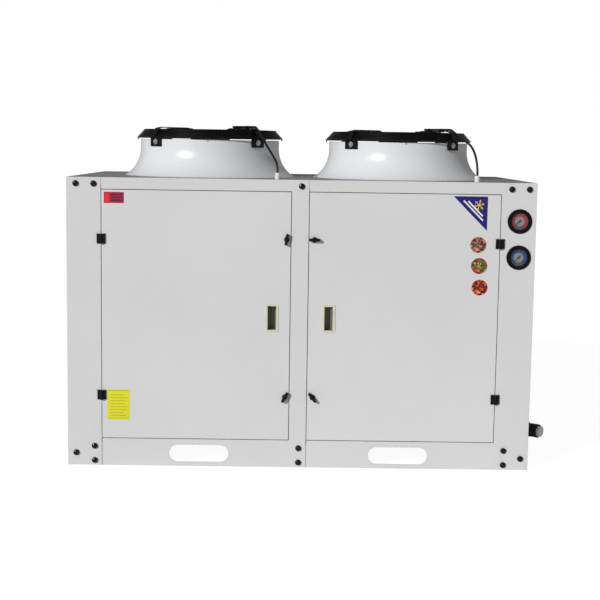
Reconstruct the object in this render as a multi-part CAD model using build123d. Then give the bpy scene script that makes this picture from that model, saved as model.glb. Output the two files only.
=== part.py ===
from build123d import *
import os
from math import atan2, cos, degrees, hypot, radians, sin

# Air-cooled refrigeration condensing unit in a sheet-steel cabinet.
# Frame: origin on the underside of the base at the middle of the cabinet,
# +X to the right seen from the doors, +Y to the coil at the back, +Z up.

# ---------------------------------------------------------------- cabinet
CABINET_W = 1620.0          # over the side skins
CABINET_D = 900.0           # over the front and rear skins
CABINET_H = 1010.0          # floor to the top of the roof sheet
SKIN_T = 2.0                # skins, posts and rails
CORNER_RETURN = 60.0        # side leg of the corner posts
LEFT_POST_W = 120.0
RIGHT_POST_W = 123.0
CENTRE_POST_W = 61.5
CENTRE_POST_X = -4.25       # the centre post stands left of the middle
TOP_RAIL_H = 41.0
BOTTOM_RAIL_H = 98.0
SEAM = 2.4                  # open joint between neighbouring panels
EDGE_ROUND = 1.2            # outer bend radius of the corner posts

# ---------------------------------------------------------------- doors
DOOR_T = 20.0               # depth of the door tray
DOOR_SKIN = 2.0
STOP_CLEAR = 2.0            # door back to the stop lip
LIP_REACH = 6.0             # how far the stop lip reaches behind a door
LIP_T = 2.0
LINER_CLEAR = 0.5
HANDLE_W = 46.0
HANDLE_H = 98.5
HANDLE_BELOW_MID = 2.8
LEFT_HANDLE_IN = 63.7       # door's free edge to the handle's middle
RIGHT_HANDLE_IN = 72.7
HANDLE_RIM = 2.0
HANDLE_WALL = 2.0
HANDLE_MOUTH_W = 30.0
HANDLE_MOUTH_H = 83.0
HANDLE_DEPTH = 32.0
HANDLE_SLOPE = 12.0         # foot of the sloped wall from the mouth's edge

# ---------------------------------------------------------------- hinges
HINGE_LEAF_W = 15.0         # pin axis to the outer edge of a leaf
HINGE_H = 34.0
HINGE_LEAF_T = 6.0
HINGE_KNUCKLE_R = 5.5
HINGE_AXIS_OUT = 6.5        # pin axis in front of the door face
HINGE_PIN_R = 2.0
HINGE_MIDDLE = 12.0         # length of the door's knuckle
RUN_CLEAR = 0.05            # radial clearance of every running fit
GAP = 0.3                   # axial gap between pieces that move past each other
HINGE_CHAMFER = 1.5
HINGE_DROP = 169.5          # door top to the upper hinge
HINGE_LIFT = 154.5          # door foot to the lower hinge

# ---------------------------------------------------------------- latches
LATCH_DROP = 164.0          # door top to the upper latch
LATCH_LIFT = 154.0          # door foot to the lower latch
LEFT_LATCH_IN = 15.0        # door's free edge to the spindle
RIGHT_LATCH_IN = 19.7
SPINDLE_R = 5.0
KNOB_BASE_R = 9.5
KNOB_BASE_T = 5.0
WING_L = 40.0
WING_T = 10.0
WING_H = 13.0
CAM_L = 28.0
CAM_W = 14.0
CAM_HUB = 8.0               # cam's round end behind the spindle
CAM_T = 4.0
CAM_GAP = 1.0               # lip back to the cam
# wing angles in the front view, and cam angles at rest, seen from the front
LEFT_HIGH_WING, LEFT_HIGH_CAM = 80.0, 260.0
LEFT_LOW_WING, LEFT_LOW_CAM = 61.0, 241.0
RIGHT_HIGH_WING, RIGHT_HIGH_CAM = 0.0, 270.0
RIGHT_LOW_WING, RIGHT_LOW_CAM = -52.0, 308.0

# ---------------------------------------------------------------- fasteners
BOLT_HEAD_R = 8.5
BOLT_HEAD_T = 5.0
BOLT_SHANK_R = 4.0
BOLT_L = 12.0
BOLT_TOP_DROP = 22.0        # roof to the upper bolts
BOLT_EDGE = 33.0            # cabinet side to the outermost bolts
BOLT_SEAM = 25.5            # middle bolts to a full-height seam
BOLT_LOW_Z = 18.0
BOLT_HIGH_Z = 69.0
BOLT_CORNER_Z = 45.0

# ---------------------------------------------------------------- base
POCKET_W = 208.0            # fork slot
POCKET_H = 60.0
POCKET_X = 350.0            # middle of the cabinet to the slot
POCKET_Z = 46.0
POCKET_WALL = 3.0
BEARER_LIP = 10.0           # folded edge of the plate that a fork lifts
RAIL_T = 3.0
RAIL_FLANGE = 45.0
BASE_HOLE_R = 7.0
BASE_HOLE_SIDE = 30.0       # cabinet side to the floor fixing holes
BASE_HOLE_END = 60.0        # front or rear to the floor fixing holes
PAN_T = 3.0
PAN_CLEAR = 1.0

# ---------------------------------------------------------------- fans
FAN_X = 354.0               # half the distance between the fans
FAN_SHIFT = 9.0             # fans' middle to the right of the cabinet's
COWL_R = 259.0              # outside of the cowl ring
COWL_WALL = 4.0
COWL_TOP = 133.0            # above the roof
COWL_STRAIGHT = 30.0        # length of the cylindrical part
COWL_FLARE_R = 120.0        # radius of the hollow flare
COWL_FOOT = 20.0            # inward foot flange
COWL_FOOT_T = 2.0
ROOF_HOLE_R = 298.0
GUARD_TOP = 168.0           # top wires above the roof
GUARD_WIRE = 4.5
GUARD_TOP_R = 246.0
GUARD_RIM_R = 271.0
GUARD_RIM_H = 140.0         # rim wire above the roof
GUARD_RIM_WIRE = 5.0
GUARD_INNER_R = 98.0
GUARD_PITCH = 10.6
GUARD_SIDE_RINGS = 5
GUARD_PLATE_T = 3.0
STRAP_W = 23.0
STRAP_T = 3.0
STRAP_RISE = 177.0          # top of the straps above the roof
FOOT_W = 60.0
FOOT_LOW = 107.0            # foot plate above the roof
FOOT_HIGH = 141.0
FOOT_T = 3.0
FOOT_BOLT_H = 124.0
FOOT_BOLT_R = 6.5
FOOT_BOLT_T = 5.0
FOOT_WASHER_R = 10.0
FOOT_WASHER_T = 1.5
MOTOR_R = 70.0
MOTOR_CAP_T = 26.0
SHAFT_R = 9.0
ROTOR_R = 74.0
ROTOR_H = 78.0
ROTOR_DROP = 3.0            # stator cap to the rotor can
BLADE_COUNT = 5
BLADE_TIP_GAP = 6.0
BLADE_T = 3.0
BLADE_CHORD = 150.0
BLADE_PITCH = 26.0

# ---------------------------------------------------------------- leads
CABLE_D = 8.0
GLAND_R = 9.5
GLAND_H = 22.0
GLAND_IN = 60.0             # front to the glands
GLAND_LEFT_OUT = 260.0      # fan axis to its gland
GLAND_RIGHT_OUT = 247.0
CABLE_INSIDE = 40.0         # lead below the roof
LEAD_BEND = 30.0            # lead's bend over the guard's edge
LEFT_LEAD_RISE = 30.0       # lead's last corner above its gland
RIGHT_LEAD_RISE = 84.0
LEFT_LEAD_BEND = 45.0
RIGHT_LEAD_BEND = 110.0

# ---------------------------------------------------------------- gauges
GAUGE_IN = 57.4             # cabinet side to the gauges
GAUGE_DROP = 132.0          # roof to the upper gauge
GAUGE_PITCH = 125.0
GAUGE_FLANGE_R = 42.5
GAUGE_BODY_R = 32.0
GAUGE_DIAL_R = 29.0
GAUGE_PROUD = 7.0
GAUGE_BEZEL_R = 34.0
GAUGE_BEZEL_T = 3.0
GAUGE_DEPTH = 38.0
GAUGE_DIAL_T = 1.0
GAUGE_LENS_T = 1.2
NEEDLE_L = 23.0
NEEDLE_TAIL = 9.0
NEEDLE_T = 0.6
NEEDLE_ARBOR_R = 1.5
NEEDLE_ZERO = 225.0         # needle angle at no pressure, in the front view

# ---------------------------------------------------------------- coil
COIL_SIDE_GAP = 110.0       # cabinet side to the coil
COIL_T = 66.0
COIL_TOP_GAP = 60.0         # coil to the roof
COIL_LIFT = 18.0            # floor pan to the coil
COIL_BACK = 4.0             # rear skin to the coil
COIL_FRAME = 14.0           # rear frame's overlap of the coil
END_PLATE_T = 2.0
TUBE_R = 4.8
BEND_R = 12.7
BEND_COUNT = 16

# ---------------------------------------------------------------- machinery
COMP_IN = 690.0             # left side to the compressor's crankcase
COMP_BACK = 410.0           # rear to the compressor's axis
MOUNT_H = 30.0
MOUNT_R = 22.0
BARREL_R = 125.0
BARREL_L = 330.0
CRANK_L = 230.0
CRANK_W = 260.0
CRANK_H = 250.0
COMP_FOOT_T = 14.0
HEAD_L = 190.0
HEAD_W = 120.0
HEAD_T = 55.0
RECEIVER_R = 105.0
RECEIVER_L = 640.0
RECEIVER_IN = 460.0         # right side to the receiver's middle
RECEIVER_BACK = 270.0
RECEIVER_LIFT = 25.0
SEPARATOR_R = 60.0
SEPARATOR_H = 420.0
SEPARATOR_IN = 150.0
SEPARATOR_BACK = 330.0
BOX_FROM_SIDE = 510.0
BOX_W = 340.0
BOX_D = 170.0
BOX_TOP_GAP = 308.0
BOX_FROM_DOOR = 25.0
BOX_WALL = 2.0
DRIER_R = 40.0
DRIER_L = 210.0
GAS_R = 14.0
LIQUID_R = 11.0
SUCTION_R = 17.5
SLEEVE_R = 24.5
STUB_LIFT = 30.0            # floor pan to the line stubs
STUB_IN = 150.0             # front to the suction stub
STUB_OUT = 38.0             # side skin to the bend of the stub
STUB_TIP = 30.0             # length past the bend
STUB_ANGLE = 40.0           # how far the stub leans to the front
STUB_BEND_R = 32.0
STUB_CAP_R = 19.5
STUB_CAP_T = 10.0
LIQUID_STUB_IN = 240.0
GROMMET_T = 5.0
GROMMET_RIM = 5.0
NOZZLE_L = 12.0
NOZZLE_WALL = 4.0

# ---------------------------------------------------------------- derived
X_SIDE = CABINET_W / 2
Y_FRONT = -CABINET_D / 2
Y_BACK = CABINET_D / 2
Z_WALL = CABINET_H - SKIN_T                     # top of every wall skin
X_POST_L = -X_SIDE + LEFT_POST_W                # seam, left post
X_POST_R = X_SIDE - RIGHT_POST_W                # seam, right post
X_MID_L = CENTRE_POST_X - CENTRE_POST_W / 2     # seam, left door and centre post
X_MID_R = CENTRE_POST_X + CENTRE_POST_W / 2     # seam, centre post and right door
Z_DOOR_LOW = BOTTOM_RAIL_H
Z_DOOR_HIGH = CABINET_H - TOP_RAIL_H
HALF = SEAM / 2
DOOR_BACK = Y_FRONT + DOOR_T
LIP_FRONT = DOOR_BACK + STOP_CLEAR
LIP_BACK = LIP_FRONT + LIP_T
Z_PAN = POCKET_Z + POCKET_H / 2 + POCKET_WALL   # underside of the floor pan
Z_FLOOR = Z_PAN + PAN_T
ROOF = CABINET_H
BASE_HOLE_DX = CABINET_W - 2 * BASE_HOLE_SIDE
BASE_HOLE_DY = CABINET_D - 2 * BASE_HOLE_END
HINGE_HIGH_Z = Z_DOOR_HIGH - HINGE_DROP
HINGE_LOW_Z = Z_DOOR_LOW + HINGE_LIFT
LATCH_HIGH_Z = Z_DOOR_HIGH - LATCH_DROP
LATCH_LOW_Z = Z_DOOR_LOW + LATCH_LIFT
HANDLE_Z = (Z_DOOR_LOW + Z_DOOR_HIGH) / 2 - HANDLE_BELOW_MID
GLAND_Y = Y_FRONT + GLAND_IN
FAN_LEFT_X = FAN_SHIFT - FAN_X
FAN_RIGHT_X = FAN_SHIFT + FAN_X
GLAND_LEFT_X = FAN_LEFT_X + GLAND_LEFT_OUT
GLAND_RIGHT_X = FAN_RIGHT_X + GLAND_RIGHT_OUT
GAUGE_X = X_SIDE - GAUGE_IN
GAUGE_HIGH_Z = ROOF - GAUGE_DROP
GAUGE_LOW_Z = GAUGE_HIGH_Z - GAUGE_PITCH
COIL_W = CABINET_W - 2 * COIL_SIDE_GAP
COIL_Z = Z_FLOOR + COIL_LIFT
COIL_H = ROOF - COIL_TOP_GAP - COIL_Z
BOX_X = X_SIDE - BOX_FROM_SIDE
BOX_H = ROOF - BOX_TOP_GAP - Z_FLOOR
STUB_Z = Z_FLOOR + STUB_LIFT
STUB_Y = Y_FRONT + STUB_IN
LIQUID_STUB_Y = Y_FRONT + LIQUID_STUB_IN
COMP_X = -X_SIDE + COMP_IN
COMP_Y = Y_BACK - COMP_BACK
RECEIVER_X = X_SIDE - RECEIVER_IN
RECEIVER_Y = Y_BACK - RECEIVER_BACK
SEPARATOR_X = -X_SIDE + SEPARATOR_IN
SEPARATOR_Y = Y_BACK - SEPARATOR_BACK
MANY = 4000.0

nodes = {}


def block(x0, x1, y0, y1, z0, z1):
    """Box between two corners."""
    size = (x1 - x0, y1 - y0, z1 - z0)
    return Pos((x0 + x1) / 2, (y0 + y1) / 2, (z0 + z1) / 2) * Box(*size)


def post(x, y, z0, z1, r):
    """Upright cylinder."""
    return Pos(x, y, (z0 + z1) / 2) * Cylinder(r, z1 - z0)


def across(x, z, y0, y1, r):
    """Cylinder along Y."""
    return Pos(x, (y0 + y1) / 2, z) * Rot(90, 0, 0) * Cylinder(r, y1 - y0)


def along(y, z, x0, x1, r):
    """Cylinder along X."""
    return Pos((x0 + x1) / 2, y, z) * Rot(0, 90, 0) * Cylinder(r, x1 - x0)


def ring_of(outer, bore, z0, z1):
    """Upright tube on the Z axis."""
    return post(0, 0, z0, z1, outer) - post(0, 0, z0 - 1, z1 + 1, bore)


def ribbon(points, thickness):
    """Strip of even thickness centred on a polyline, as a closed outline."""
    left = []
    right = []
    for index, point in enumerate(points):
        before = points[max(index - 1, 0)]
        after = points[min(index + 1, len(points) - 1)]
        first = (point[0] - before[0], point[1] - before[1])
        second = (after[0] - point[0], after[1] - point[1])
        if index == 0:
            first = second
        if index == len(points) - 1:
            second = first
        n1 = (-first[1] / hypot(*first), first[0] / hypot(*first))
        n2 = (-second[1] / hypot(*second), second[0] / hypot(*second))
        mitre = (n1[0] + n2[0], n1[1] + n2[1])
        scale = thickness / (mitre[0] * n1[0] + mitre[1] * n1[1]) / 2
        left.append((point[0] + mitre[0] * scale, point[1] + mitre[1] * scale))
        right.append((point[0] - mitre[0] * scale, point[1] - mitre[1] * scale))
    return left + right[::-1]


def outline(points):
    """Face from a closed list of points, as drawn."""
    return make_face(Polyline(*points, close=True))


def slot_bar(width, height, x, z, y0, y1):
    """Bar with round ends along Y."""
    profile = Pos(x, z) * SlotOverall(width, height)
    bar = extrude(Plane.XZ * profile, amount=(y1 - y0) / 2, both=True)
    return Pos(0, (y0 + y1) / 2, 0) * bar


def tube(points, radii, radius):
    """Round bar along straight runs joined by tangent arcs."""
    path = FilletPolyline(*points, radius=radii)
    section = Plane(origin=path @ 0, z_dir=path % 0) * Circle(radius)
    return sweep(section, path)


def wire_ring(radius, height, wire):
    """Wire ring round the Z axis, rolled from eight-sided bar."""
    section = Plane.XZ * (Pos(radius, height) * RegularPolygon(wire / 2, 8))
    return revolve(section, Axis.Z)


def group(solids):
    """Several separate solids kept as one node."""
    flat = []
    for item in solids:
        flat.extend(item.solids())
    return Compound(children=flat)


def keep(name, shape):
    """Register a node."""
    nodes[name] = shape


# ================================================================ front frame
def surround(x0, x1, z0, z1):
    """Return flange and stop lip round a door opening."""
    sleeve = block(x0 - SKIN_T, x1 + SKIN_T, Y_FRONT, LIP_BACK, z0 - SKIN_T, z1 + SKIN_T)
    sleeve -= block(x0, x1, Y_FRONT - 1, LIP_FRONT, z0, z1)
    inner = block(
        x0 + LIP_REACH, x1 - LIP_REACH, LIP_FRONT - 1, LIP_BACK + 1, z0 + LIP_REACH, z1 - LIP_REACH
    )
    return sleeve - inner


def split_surround(x0, x1, z0, z1):
    """Divide a surround at the full-height seam along its left edge."""
    whole = surround(x0, x1, z0, z1)
    stile = block(-MANY, x0, -MANY, MANY, 0, Z_WALL)
    lip_low = z0 + LIP_REACH
    lip_high = z1 - LIP_REACH
    lip = block(
        x0 - 1, x0 + LIP_REACH, LIP_FRONT - 1, LIP_BACK + 1, lip_low + HALF, lip_high - HALF
    )
    room = block(x0 - 1, x0 + LIP_REACH, LIP_FRONT - 1, LIP_BACK + 1, lip_low, lip_high)
    beyond = block(x0 + SEAM, MANY, -MANY, MANY, 0, Z_WALL)
    first = (whole & stile) + (whole & lip)
    second = (whole & beyond) - room
    return first, second


OPEN_L = (X_POST_L - HALF, X_MID_L + HALF, Z_DOOR_LOW - HALF, Z_DOOR_HIGH + HALF)
OPEN_R = (X_MID_R - HALF, X_POST_R + HALF, Z_DOOR_LOW - HALF, Z_DOOR_HIGH + HALF)
post_surround, left_surround = split_surround(*OPEN_L)
mid_surround, right_surround = split_surround(*OPEN_R)

bolt_shanks = []
bolt_heads = []


def front_bolt(x, z):
    """One hexagon flange bolt in the front face."""
    bolt_heads.append((x, z))


BOLTS_TOP = ROOF - BOLT_TOP_DROP
for bolt_x in (-X_SIDE + BOLT_EDGE, X_POST_L - BOLT_SEAM, CENTRE_POST_X + 4, X_SIDE - BOLT_EDGE + 6):
    front_bolt(bolt_x, BOLTS_TOP)
front_bolt(X_POST_R + BOLT_SEAM + 10, BOLTS_TOP)
front_bolt(-X_SIDE + BOLT_EDGE - 3, BOLT_CORNER_Z)
front_bolt(X_SIDE - BOLT_EDGE + 6, BOLT_CORNER_Z - 4)
for bolt_z in (BOLT_LOW_Z, BOLT_HIGH_Z):
    front_bolt(X_POST_L - BOLT_SEAM, bolt_z)
    front_bolt(CENTRE_POST_X + 4, bolt_z)
    front_bolt(X_POST_R + BOLT_SEAM + 10, bolt_z)


def drilled(shape):
    """Cut the front bolt holes in a front piece."""
    for bolt_x, bolt_z in bolt_heads:
        shape -= across(bolt_x, bolt_z, Y_FRONT - 1, Y_FRONT + SKIN_T + 1, BOLT_SHANK_R + RUN_CLEAR)
    return shape


def rounded_corner(shape, x, y):
    """Bend radius on a cabinet corner."""
    edges = [
        edge
        for edge in shape.edges().filter_by(Axis.Z)
        if abs(edge.center().X - x) < 0.01 and abs(edge.center().Y - y) < 0.01
    ]
    return fillet(edges, EDGE_ROUND) if edges else shape


left_post = block(-X_SIDE, X_POST_L - HALF, Y_FRONT, Y_FRONT + SKIN_T, 0, Z_WALL)
left_post += block(-X_SIDE, -X_SIDE + SKIN_T, Y_FRONT, Y_FRONT + CORNER_RETURN, 0, Z_WALL)
left_post += post_surround
left_post = rounded_corner(left_post, -X_SIDE, Y_FRONT)
keep("front_left_post", drilled(left_post))

frame_l = block(X_POST_L + HALF, X_MID_R - HALF, Y_FRONT, Y_FRONT + SKIN_T, 0, Z_WALL)
frame_l -= block(-MANY, OPEN_L[1], Y_FRONT - 1, Y_FRONT + SKIN_T + 1, OPEN_L[2], OPEN_L[3])
frame_l += left_surround
frame_l += mid_surround
frame_l -= slot_bar(POCKET_W, POCKET_H, -POCKET_X, POCKET_Z, Y_FRONT - 5, Y_FRONT + 50)
keep("front_frame_left", drilled(frame_l))

frame_r = block(X_MID_R + HALF, X_SIDE, Y_FRONT, Y_FRONT + SKIN_T, 0, Z_WALL)
frame_r += block(X_SIDE - SKIN_T, X_SIDE, Y_FRONT, Y_FRONT + CORNER_RETURN, 0, Z_WALL)
frame_r -= block(0, OPEN_R[1], Y_FRONT - 1, Y_FRONT + SKIN_T + 1, OPEN_R[2], OPEN_R[3])
frame_r += right_surround
frame_r -= slot_bar(POCKET_W, POCKET_H, POCKET_X, POCKET_Z, Y_FRONT - 5, Y_FRONT + 50)
for gauge_z in (GAUGE_HIGH_Z, GAUGE_LOW_Z):
    frame_r -= across(GAUGE_X, gauge_z, Y_FRONT - 1, Y_FRONT + 9, GAUGE_BODY_R + 1)
frame_r = rounded_corner(frame_r, X_SIDE, Y_FRONT)
keep("front_frame_right", drilled(frame_r))

# ================================================================ rear and sides
COIL_Y1 = Y_BACK - SKIN_T - COIL_BACK
COIL_Y0 = COIL_Y1 - COIL_T
REAR_X = COIL_W / 2 - COIL_FRAME
REAR_Z0 = COIL_Z + COIL_FRAME
REAR_Z1 = COIL_Z + COIL_H - COIL_FRAME
rear = block(-X_SIDE, X_SIDE, Y_BACK - SKIN_T, Y_BACK, 0, Z_WALL)
rear -= block(-REAR_X, REAR_X, Y_BACK - 9, Y_BACK + 9, REAR_Z0, REAR_Z1)
for side in (-1, 1):
    x0, x1 = sorted((side * X_SIDE, side * (X_SIDE - SKIN_T)))
    rear += block(x0, x1, Y_BACK - CORNER_RETURN, Y_BACK, 0, Z_WALL)
    rear -= slot_bar(POCKET_W, POCKET_H, side * POCKET_X, POCKET_Z, Y_BACK - 20, Y_BACK + 5)
keep("rear_frame", rear)

SIDE_Y = CABINET_D / 2 - CORNER_RETURN - SEAM
SIDE_FLANGE = 20.0


def side_panel(side):
    """Side skin with folded edges turned inwards."""
    x0, x1 = sorted((side * X_SIDE, side * (X_SIDE - SIDE_FLANGE)))
    panel = block(x0, x1, -SIDE_Y, SIDE_Y, Z_FLOOR + 1, Z_WALL)
    xa, xb = sorted((side * (X_SIDE - SKIN_T), side * (X_SIDE - SIDE_FLANGE - 1)))
    panel -= block(
        xa, xb, -SIDE_Y + SKIN_T, SIDE_Y - SKIN_T, Z_FLOOR + 1 + SKIN_T, Z_WALL - SKIN_T
    )
    x0, x1 = sorted((side * X_SIDE, side * (X_SIDE - SKIN_T)))
    panel += block(x0, x1, -SIDE_Y, SIDE_Y, 0, Z_WALL)
    return panel


keep("left_side_panel", side_panel(-1))
right_panel = side_panel(1)
SUCTION_HOLE_R = SLEEVE_R + 3
LIQUID_HOLE_R = LIQUID_R + 3
right_panel -= along(STUB_Y, STUB_Z, X_SIDE - SKIN_T - 1, X_SIDE + 1, SUCTION_HOLE_R)
right_panel -= along(LIQUID_STUB_Y, STUB_Z, X_SIDE - SKIN_T - 1, X_SIDE + 1, LIQUID_HOLE_R)
keep("right_side_panel", right_panel)

roof = block(-X_SIDE, X_SIDE, Y_FRONT, Y_BACK, Z_WALL, ROOF)
ROOF_LIP = 30.0
for y0 in (Y_FRONT + SKIN_T, Y_BACK - 2 * SKIN_T):
    x_lip = X_SIDE - SKIN_T - PAN_CLEAR
    z_lip = max(Z_WALL - ROOF_LIP, OPEN_L[3] + SKIN_T + 1)
    roof += block(-x_lip, x_lip, y0, y0 + SKIN_T, z_lip, Z_WALL)
for fan_x in (FAN_LEFT_X, FAN_RIGHT_X):
    roof -= post(fan_x, 0, Z_WALL - 1, ROOF + 1, ROOF_HOLE_R)
for gland_x in (GLAND_LEFT_X, GLAND_RIGHT_X):
    roof -= post(gland_x, GLAND_Y, Z_WALL - 1, ROOF + 1, GLAND_R - 2)
for bolt_x, bolt_z in bolt_heads:
    roof -= across(bolt_x, bolt_z, Y_FRONT + SKIN_T - 1, Y_FRONT + 2 * SKIN_T + 1, BOLT_SHANK_R + 1)
keep("top_panel", roof)

# ================================================================ base
POCKET_OUT_W = POCKET_W + 2 * POCKET_WALL
POCKET_FOOT = POCKET_Z - POCKET_H / 2 - POCKET_WALL
for name, side in (("left_fork_bearer", -1), ("right_fork_bearer", 1)):
    y0, y1 = Y_FRONT + SKIN_T, Y_BACK - SKIN_T
    xa = side * POCKET_X - POCKET_OUT_W / 2
    xb = side * POCKET_X + POCKET_OUT_W / 2
    bearer = block(xa, xb, y0, y1, Z_PAN - POCKET_WALL - BEARER_LIP, Z_PAN)
    bearer -= block(
        xa + POCKET_WALL, xb - POCKET_WALL, y0 - 5, y1 + 5, 0, Z_PAN - POCKET_WALL
    )
    keep(name, bearer)

RAIL_IN = SKIN_T
rails = []
for side in (-1, 1):
    web = X_SIDE - RAIL_IN
    path = [
        (web - RAIL_FLANGE, RAIL_T / 2),
        (web - RAIL_T / 2, RAIL_T / 2),
        (web - RAIL_T / 2, Z_PAN - RAIL_T / 2),
        (web - RAIL_FLANGE, Z_PAN - RAIL_T / 2),
    ]
    profile = outline([(side * x, z) for x, z in ribbon(path, RAIL_T)])
    half = CABINET_D / 2 - SKIN_T
    rail = extrude(Plane.XZ * profile, amount=half, both=True)
    for hole_y in (-BASE_HOLE_DY / 2, BASE_HOLE_DY / 2):
        rail -= post(side * BASE_HOLE_DX / 2, hole_y, -1, RAIL_T + 1, BASE_HOLE_R)
    rails.append(rail)
for y_web, y_in in ((Y_FRONT + SKIN_T, 1), (Y_BACK - SKIN_T, -1)):
    path = [
        (y_web + y_in * RAIL_FLANGE, RAIL_T / 2),
        (y_web + y_in * RAIL_T / 2, RAIL_T / 2),
        (y_web + y_in * RAIL_T / 2, Z_PAN),
    ]
    profile = outline(ribbon(path, RAIL_T))
    half = X_SIDE - RAIL_IN - RAIL_FLANGE - PAN_CLEAR
    cross = extrude(Plane.YZ * profile, amount=half, both=True)
    for side in (-1, 1):
        cut = POCKET_OUT_W / 2 + GAP
        cross -= block(
            side * POCKET_X - cut, side * POCKET_X + cut, -CABINET_D, CABINET_D, POCKET_FOOT, Z_PAN + 1
        )
    for bolt_x, bolt_z in bolt_heads:
        cross -= across(bolt_x, bolt_z, Y_FRONT, Y_FRONT + 9, BOLT_SHANK_R + 1)
    rails.append(cross)
keep("base_rails", group(rails))

pan_x = X_SIDE - SKIN_T - PAN_CLEAR
pan_y = CABINET_D / 2 - 2 * SKIN_T - PAN_CLEAR
pan = block(-pan_x, pan_x, -pan_y, pan_y, Z_PAN, Z_FLOOR)
keep("floor_pan", pan)

# ================================================================ fasteners
HEX = BOLT_HEAD_R * 1.5
bolts = []
for bolt_x, bolt_z in bolt_heads:
    shank = across(bolt_x, bolt_z, Y_FRONT, Y_FRONT + BOLT_L, BOLT_SHANK_R)
    flange = across(bolt_x, bolt_z, Y_FRONT - 1.6, Y_FRONT, BOLT_HEAD_R)
    hexagon = extrude(Plane.XZ * RegularPolygon(HEX / 2, 6, major_radius=False), amount=BOLT_HEAD_T)
    hexagon = Pos(bolt_x, Y_FRONT, bolt_z) * hexagon
    bolts.append(shank + flange + hexagon)
keep("frame_bolts", group(bolts))


# ================================================================ doors
def wedge_mouth(x, lean):
    """Hollow of a flush handle with one sloped wall."""
    half = HANDLE_MOUTH_W / 2
    y0 = Y_FRONT - HANDLE_RIM
    outline_points = [
        (x - half * lean, y0 - 1),
        (x + half * lean, y0 - 1),
        (x + half * lean, y0),
        (x + (half - HANDLE_SLOPE) * lean, y0 + HANDLE_DEPTH),
        (x - half * lean, y0 + HANDLE_DEPTH),
    ]
    face = outline(outline_points)
    return Pos(0, 0, HANDLE_Z) * extrude(face, amount=HANDLE_MOUTH_H / 2, both=True)


def door_set(name, hinge_x, free_x, handle_in, latch_in, wings):
    """One door: tray, liner, handle, hinge leaves and latches."""
    x0, x1 = sorted((hinge_x, free_x))
    x0 += HALF
    x1 -= HALF
    z0 = Z_DOOR_LOW + HALF
    z1 = Z_DOOR_HIGH - HALF
    inward = 1 if hinge_x > free_x else -1
    handle_x = free_x + inward * handle_in
    spindle_x = free_x + inward * latch_in
    cup_w = HANDLE_MOUTH_W + 2 * HANDLE_WALL
    cup_h = HANDLE_MOUTH_H + 2 * HANDLE_WALL
    cup_y = Y_FRONT - HANDLE_RIM + HANDLE_DEPTH + HANDLE_WALL
    tray = block(x0, x1, Y_FRONT, DOOR_BACK, z0, z1)
    tray -= block(
        x0 + DOOR_SKIN, x1 - DOOR_SKIN, Y_FRONT + DOOR_SKIN, DOOR_BACK + 1, z0 + DOOR_SKIN, z1 - DOOR_SKIN
    )
    tray -= block(
        handle_x - cup_w / 2 - GAP,
        handle_x + cup_w / 2 + GAP,
        Y_FRONT - 1,
        Y_FRONT + DOOR_SKIN + 1,
        HANDLE_Z - cup_h / 2 - GAP,
        HANDLE_Z + cup_h / 2 + GAP,
    )
    lc = DOOR_SKIN + LINER_CLEAR
    liner = block(x0 + lc, x1 - lc, Y_FRONT + DOOR_SKIN, DOOR_BACK - 1, z0 + lc, z1 - lc)
    liner -= block(
        handle_x - cup_w / 2 - GAP,
        handle_x + cup_w / 2 + GAP,
        Y_FRONT,
        DOOR_BACK + 1,
        HANDLE_Z - cup_h / 2 - GAP,
        HANDLE_Z + cup_h / 2 + GAP,
    )
    for latch_name, spindle_z, wing_angle, cam_angle in wings:
        bore = SPINDLE_R + RUN_CLEAR
        tray -= across(spindle_x, spindle_z, Y_FRONT - 1, Y_FRONT + DOOR_SKIN + 1, bore)
        liner -= across(spindle_x, spindle_z, Y_FRONT, DOOR_BACK + 1, SPINDLE_R + 2)
        keep(latch_name, latch(spindle_x, spindle_z, wing_angle, cam_angle))
    keep(name, tray)
    keep(name + "_liner", liner)
    rim = Box(HANDLE_W, HANDLE_RIM, HANDLE_H)
    rim = fillet(rim.edges().filter_by(Axis.Y), 5)
    rim = fillet(rim.faces().sort_by(Axis.Y)[0].edges(), HANDLE_RIM * 0.4)
    cup = Pos(handle_x, Y_FRONT - HANDLE_RIM / 2, HANDLE_Z) * rim
    cup += block(
        handle_x - cup_w / 2,
        handle_x + cup_w / 2,
        Y_FRONT - HANDLE_RIM / 2,
        cup_y,
        HANDLE_Z - cup_h / 2,
        HANDLE_Z + cup_h / 2,
    )
    cup -= wedge_mouth(handle_x, inward)
    keep(name + "_handle", cup)
    leaves = []
    for hinge_z in (HINGE_HIGH_Z, HINGE_LOW_Z):
        leaves.append(hinge_leaf(hinge_x, hinge_z, -inward, True))
        post_leaves.append(hinge_leaf(hinge_x, hinge_z, inward, False))
        y_axis = Y_FRONT - HINGE_AXIS_OUT
        pins.append(post(hinge_x, y_axis, hinge_z - HINGE_H / 2, hinge_z + HINGE_H / 2, HINGE_PIN_R))
    keep(name + "_hinge_leaves", group(leaves))


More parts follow.
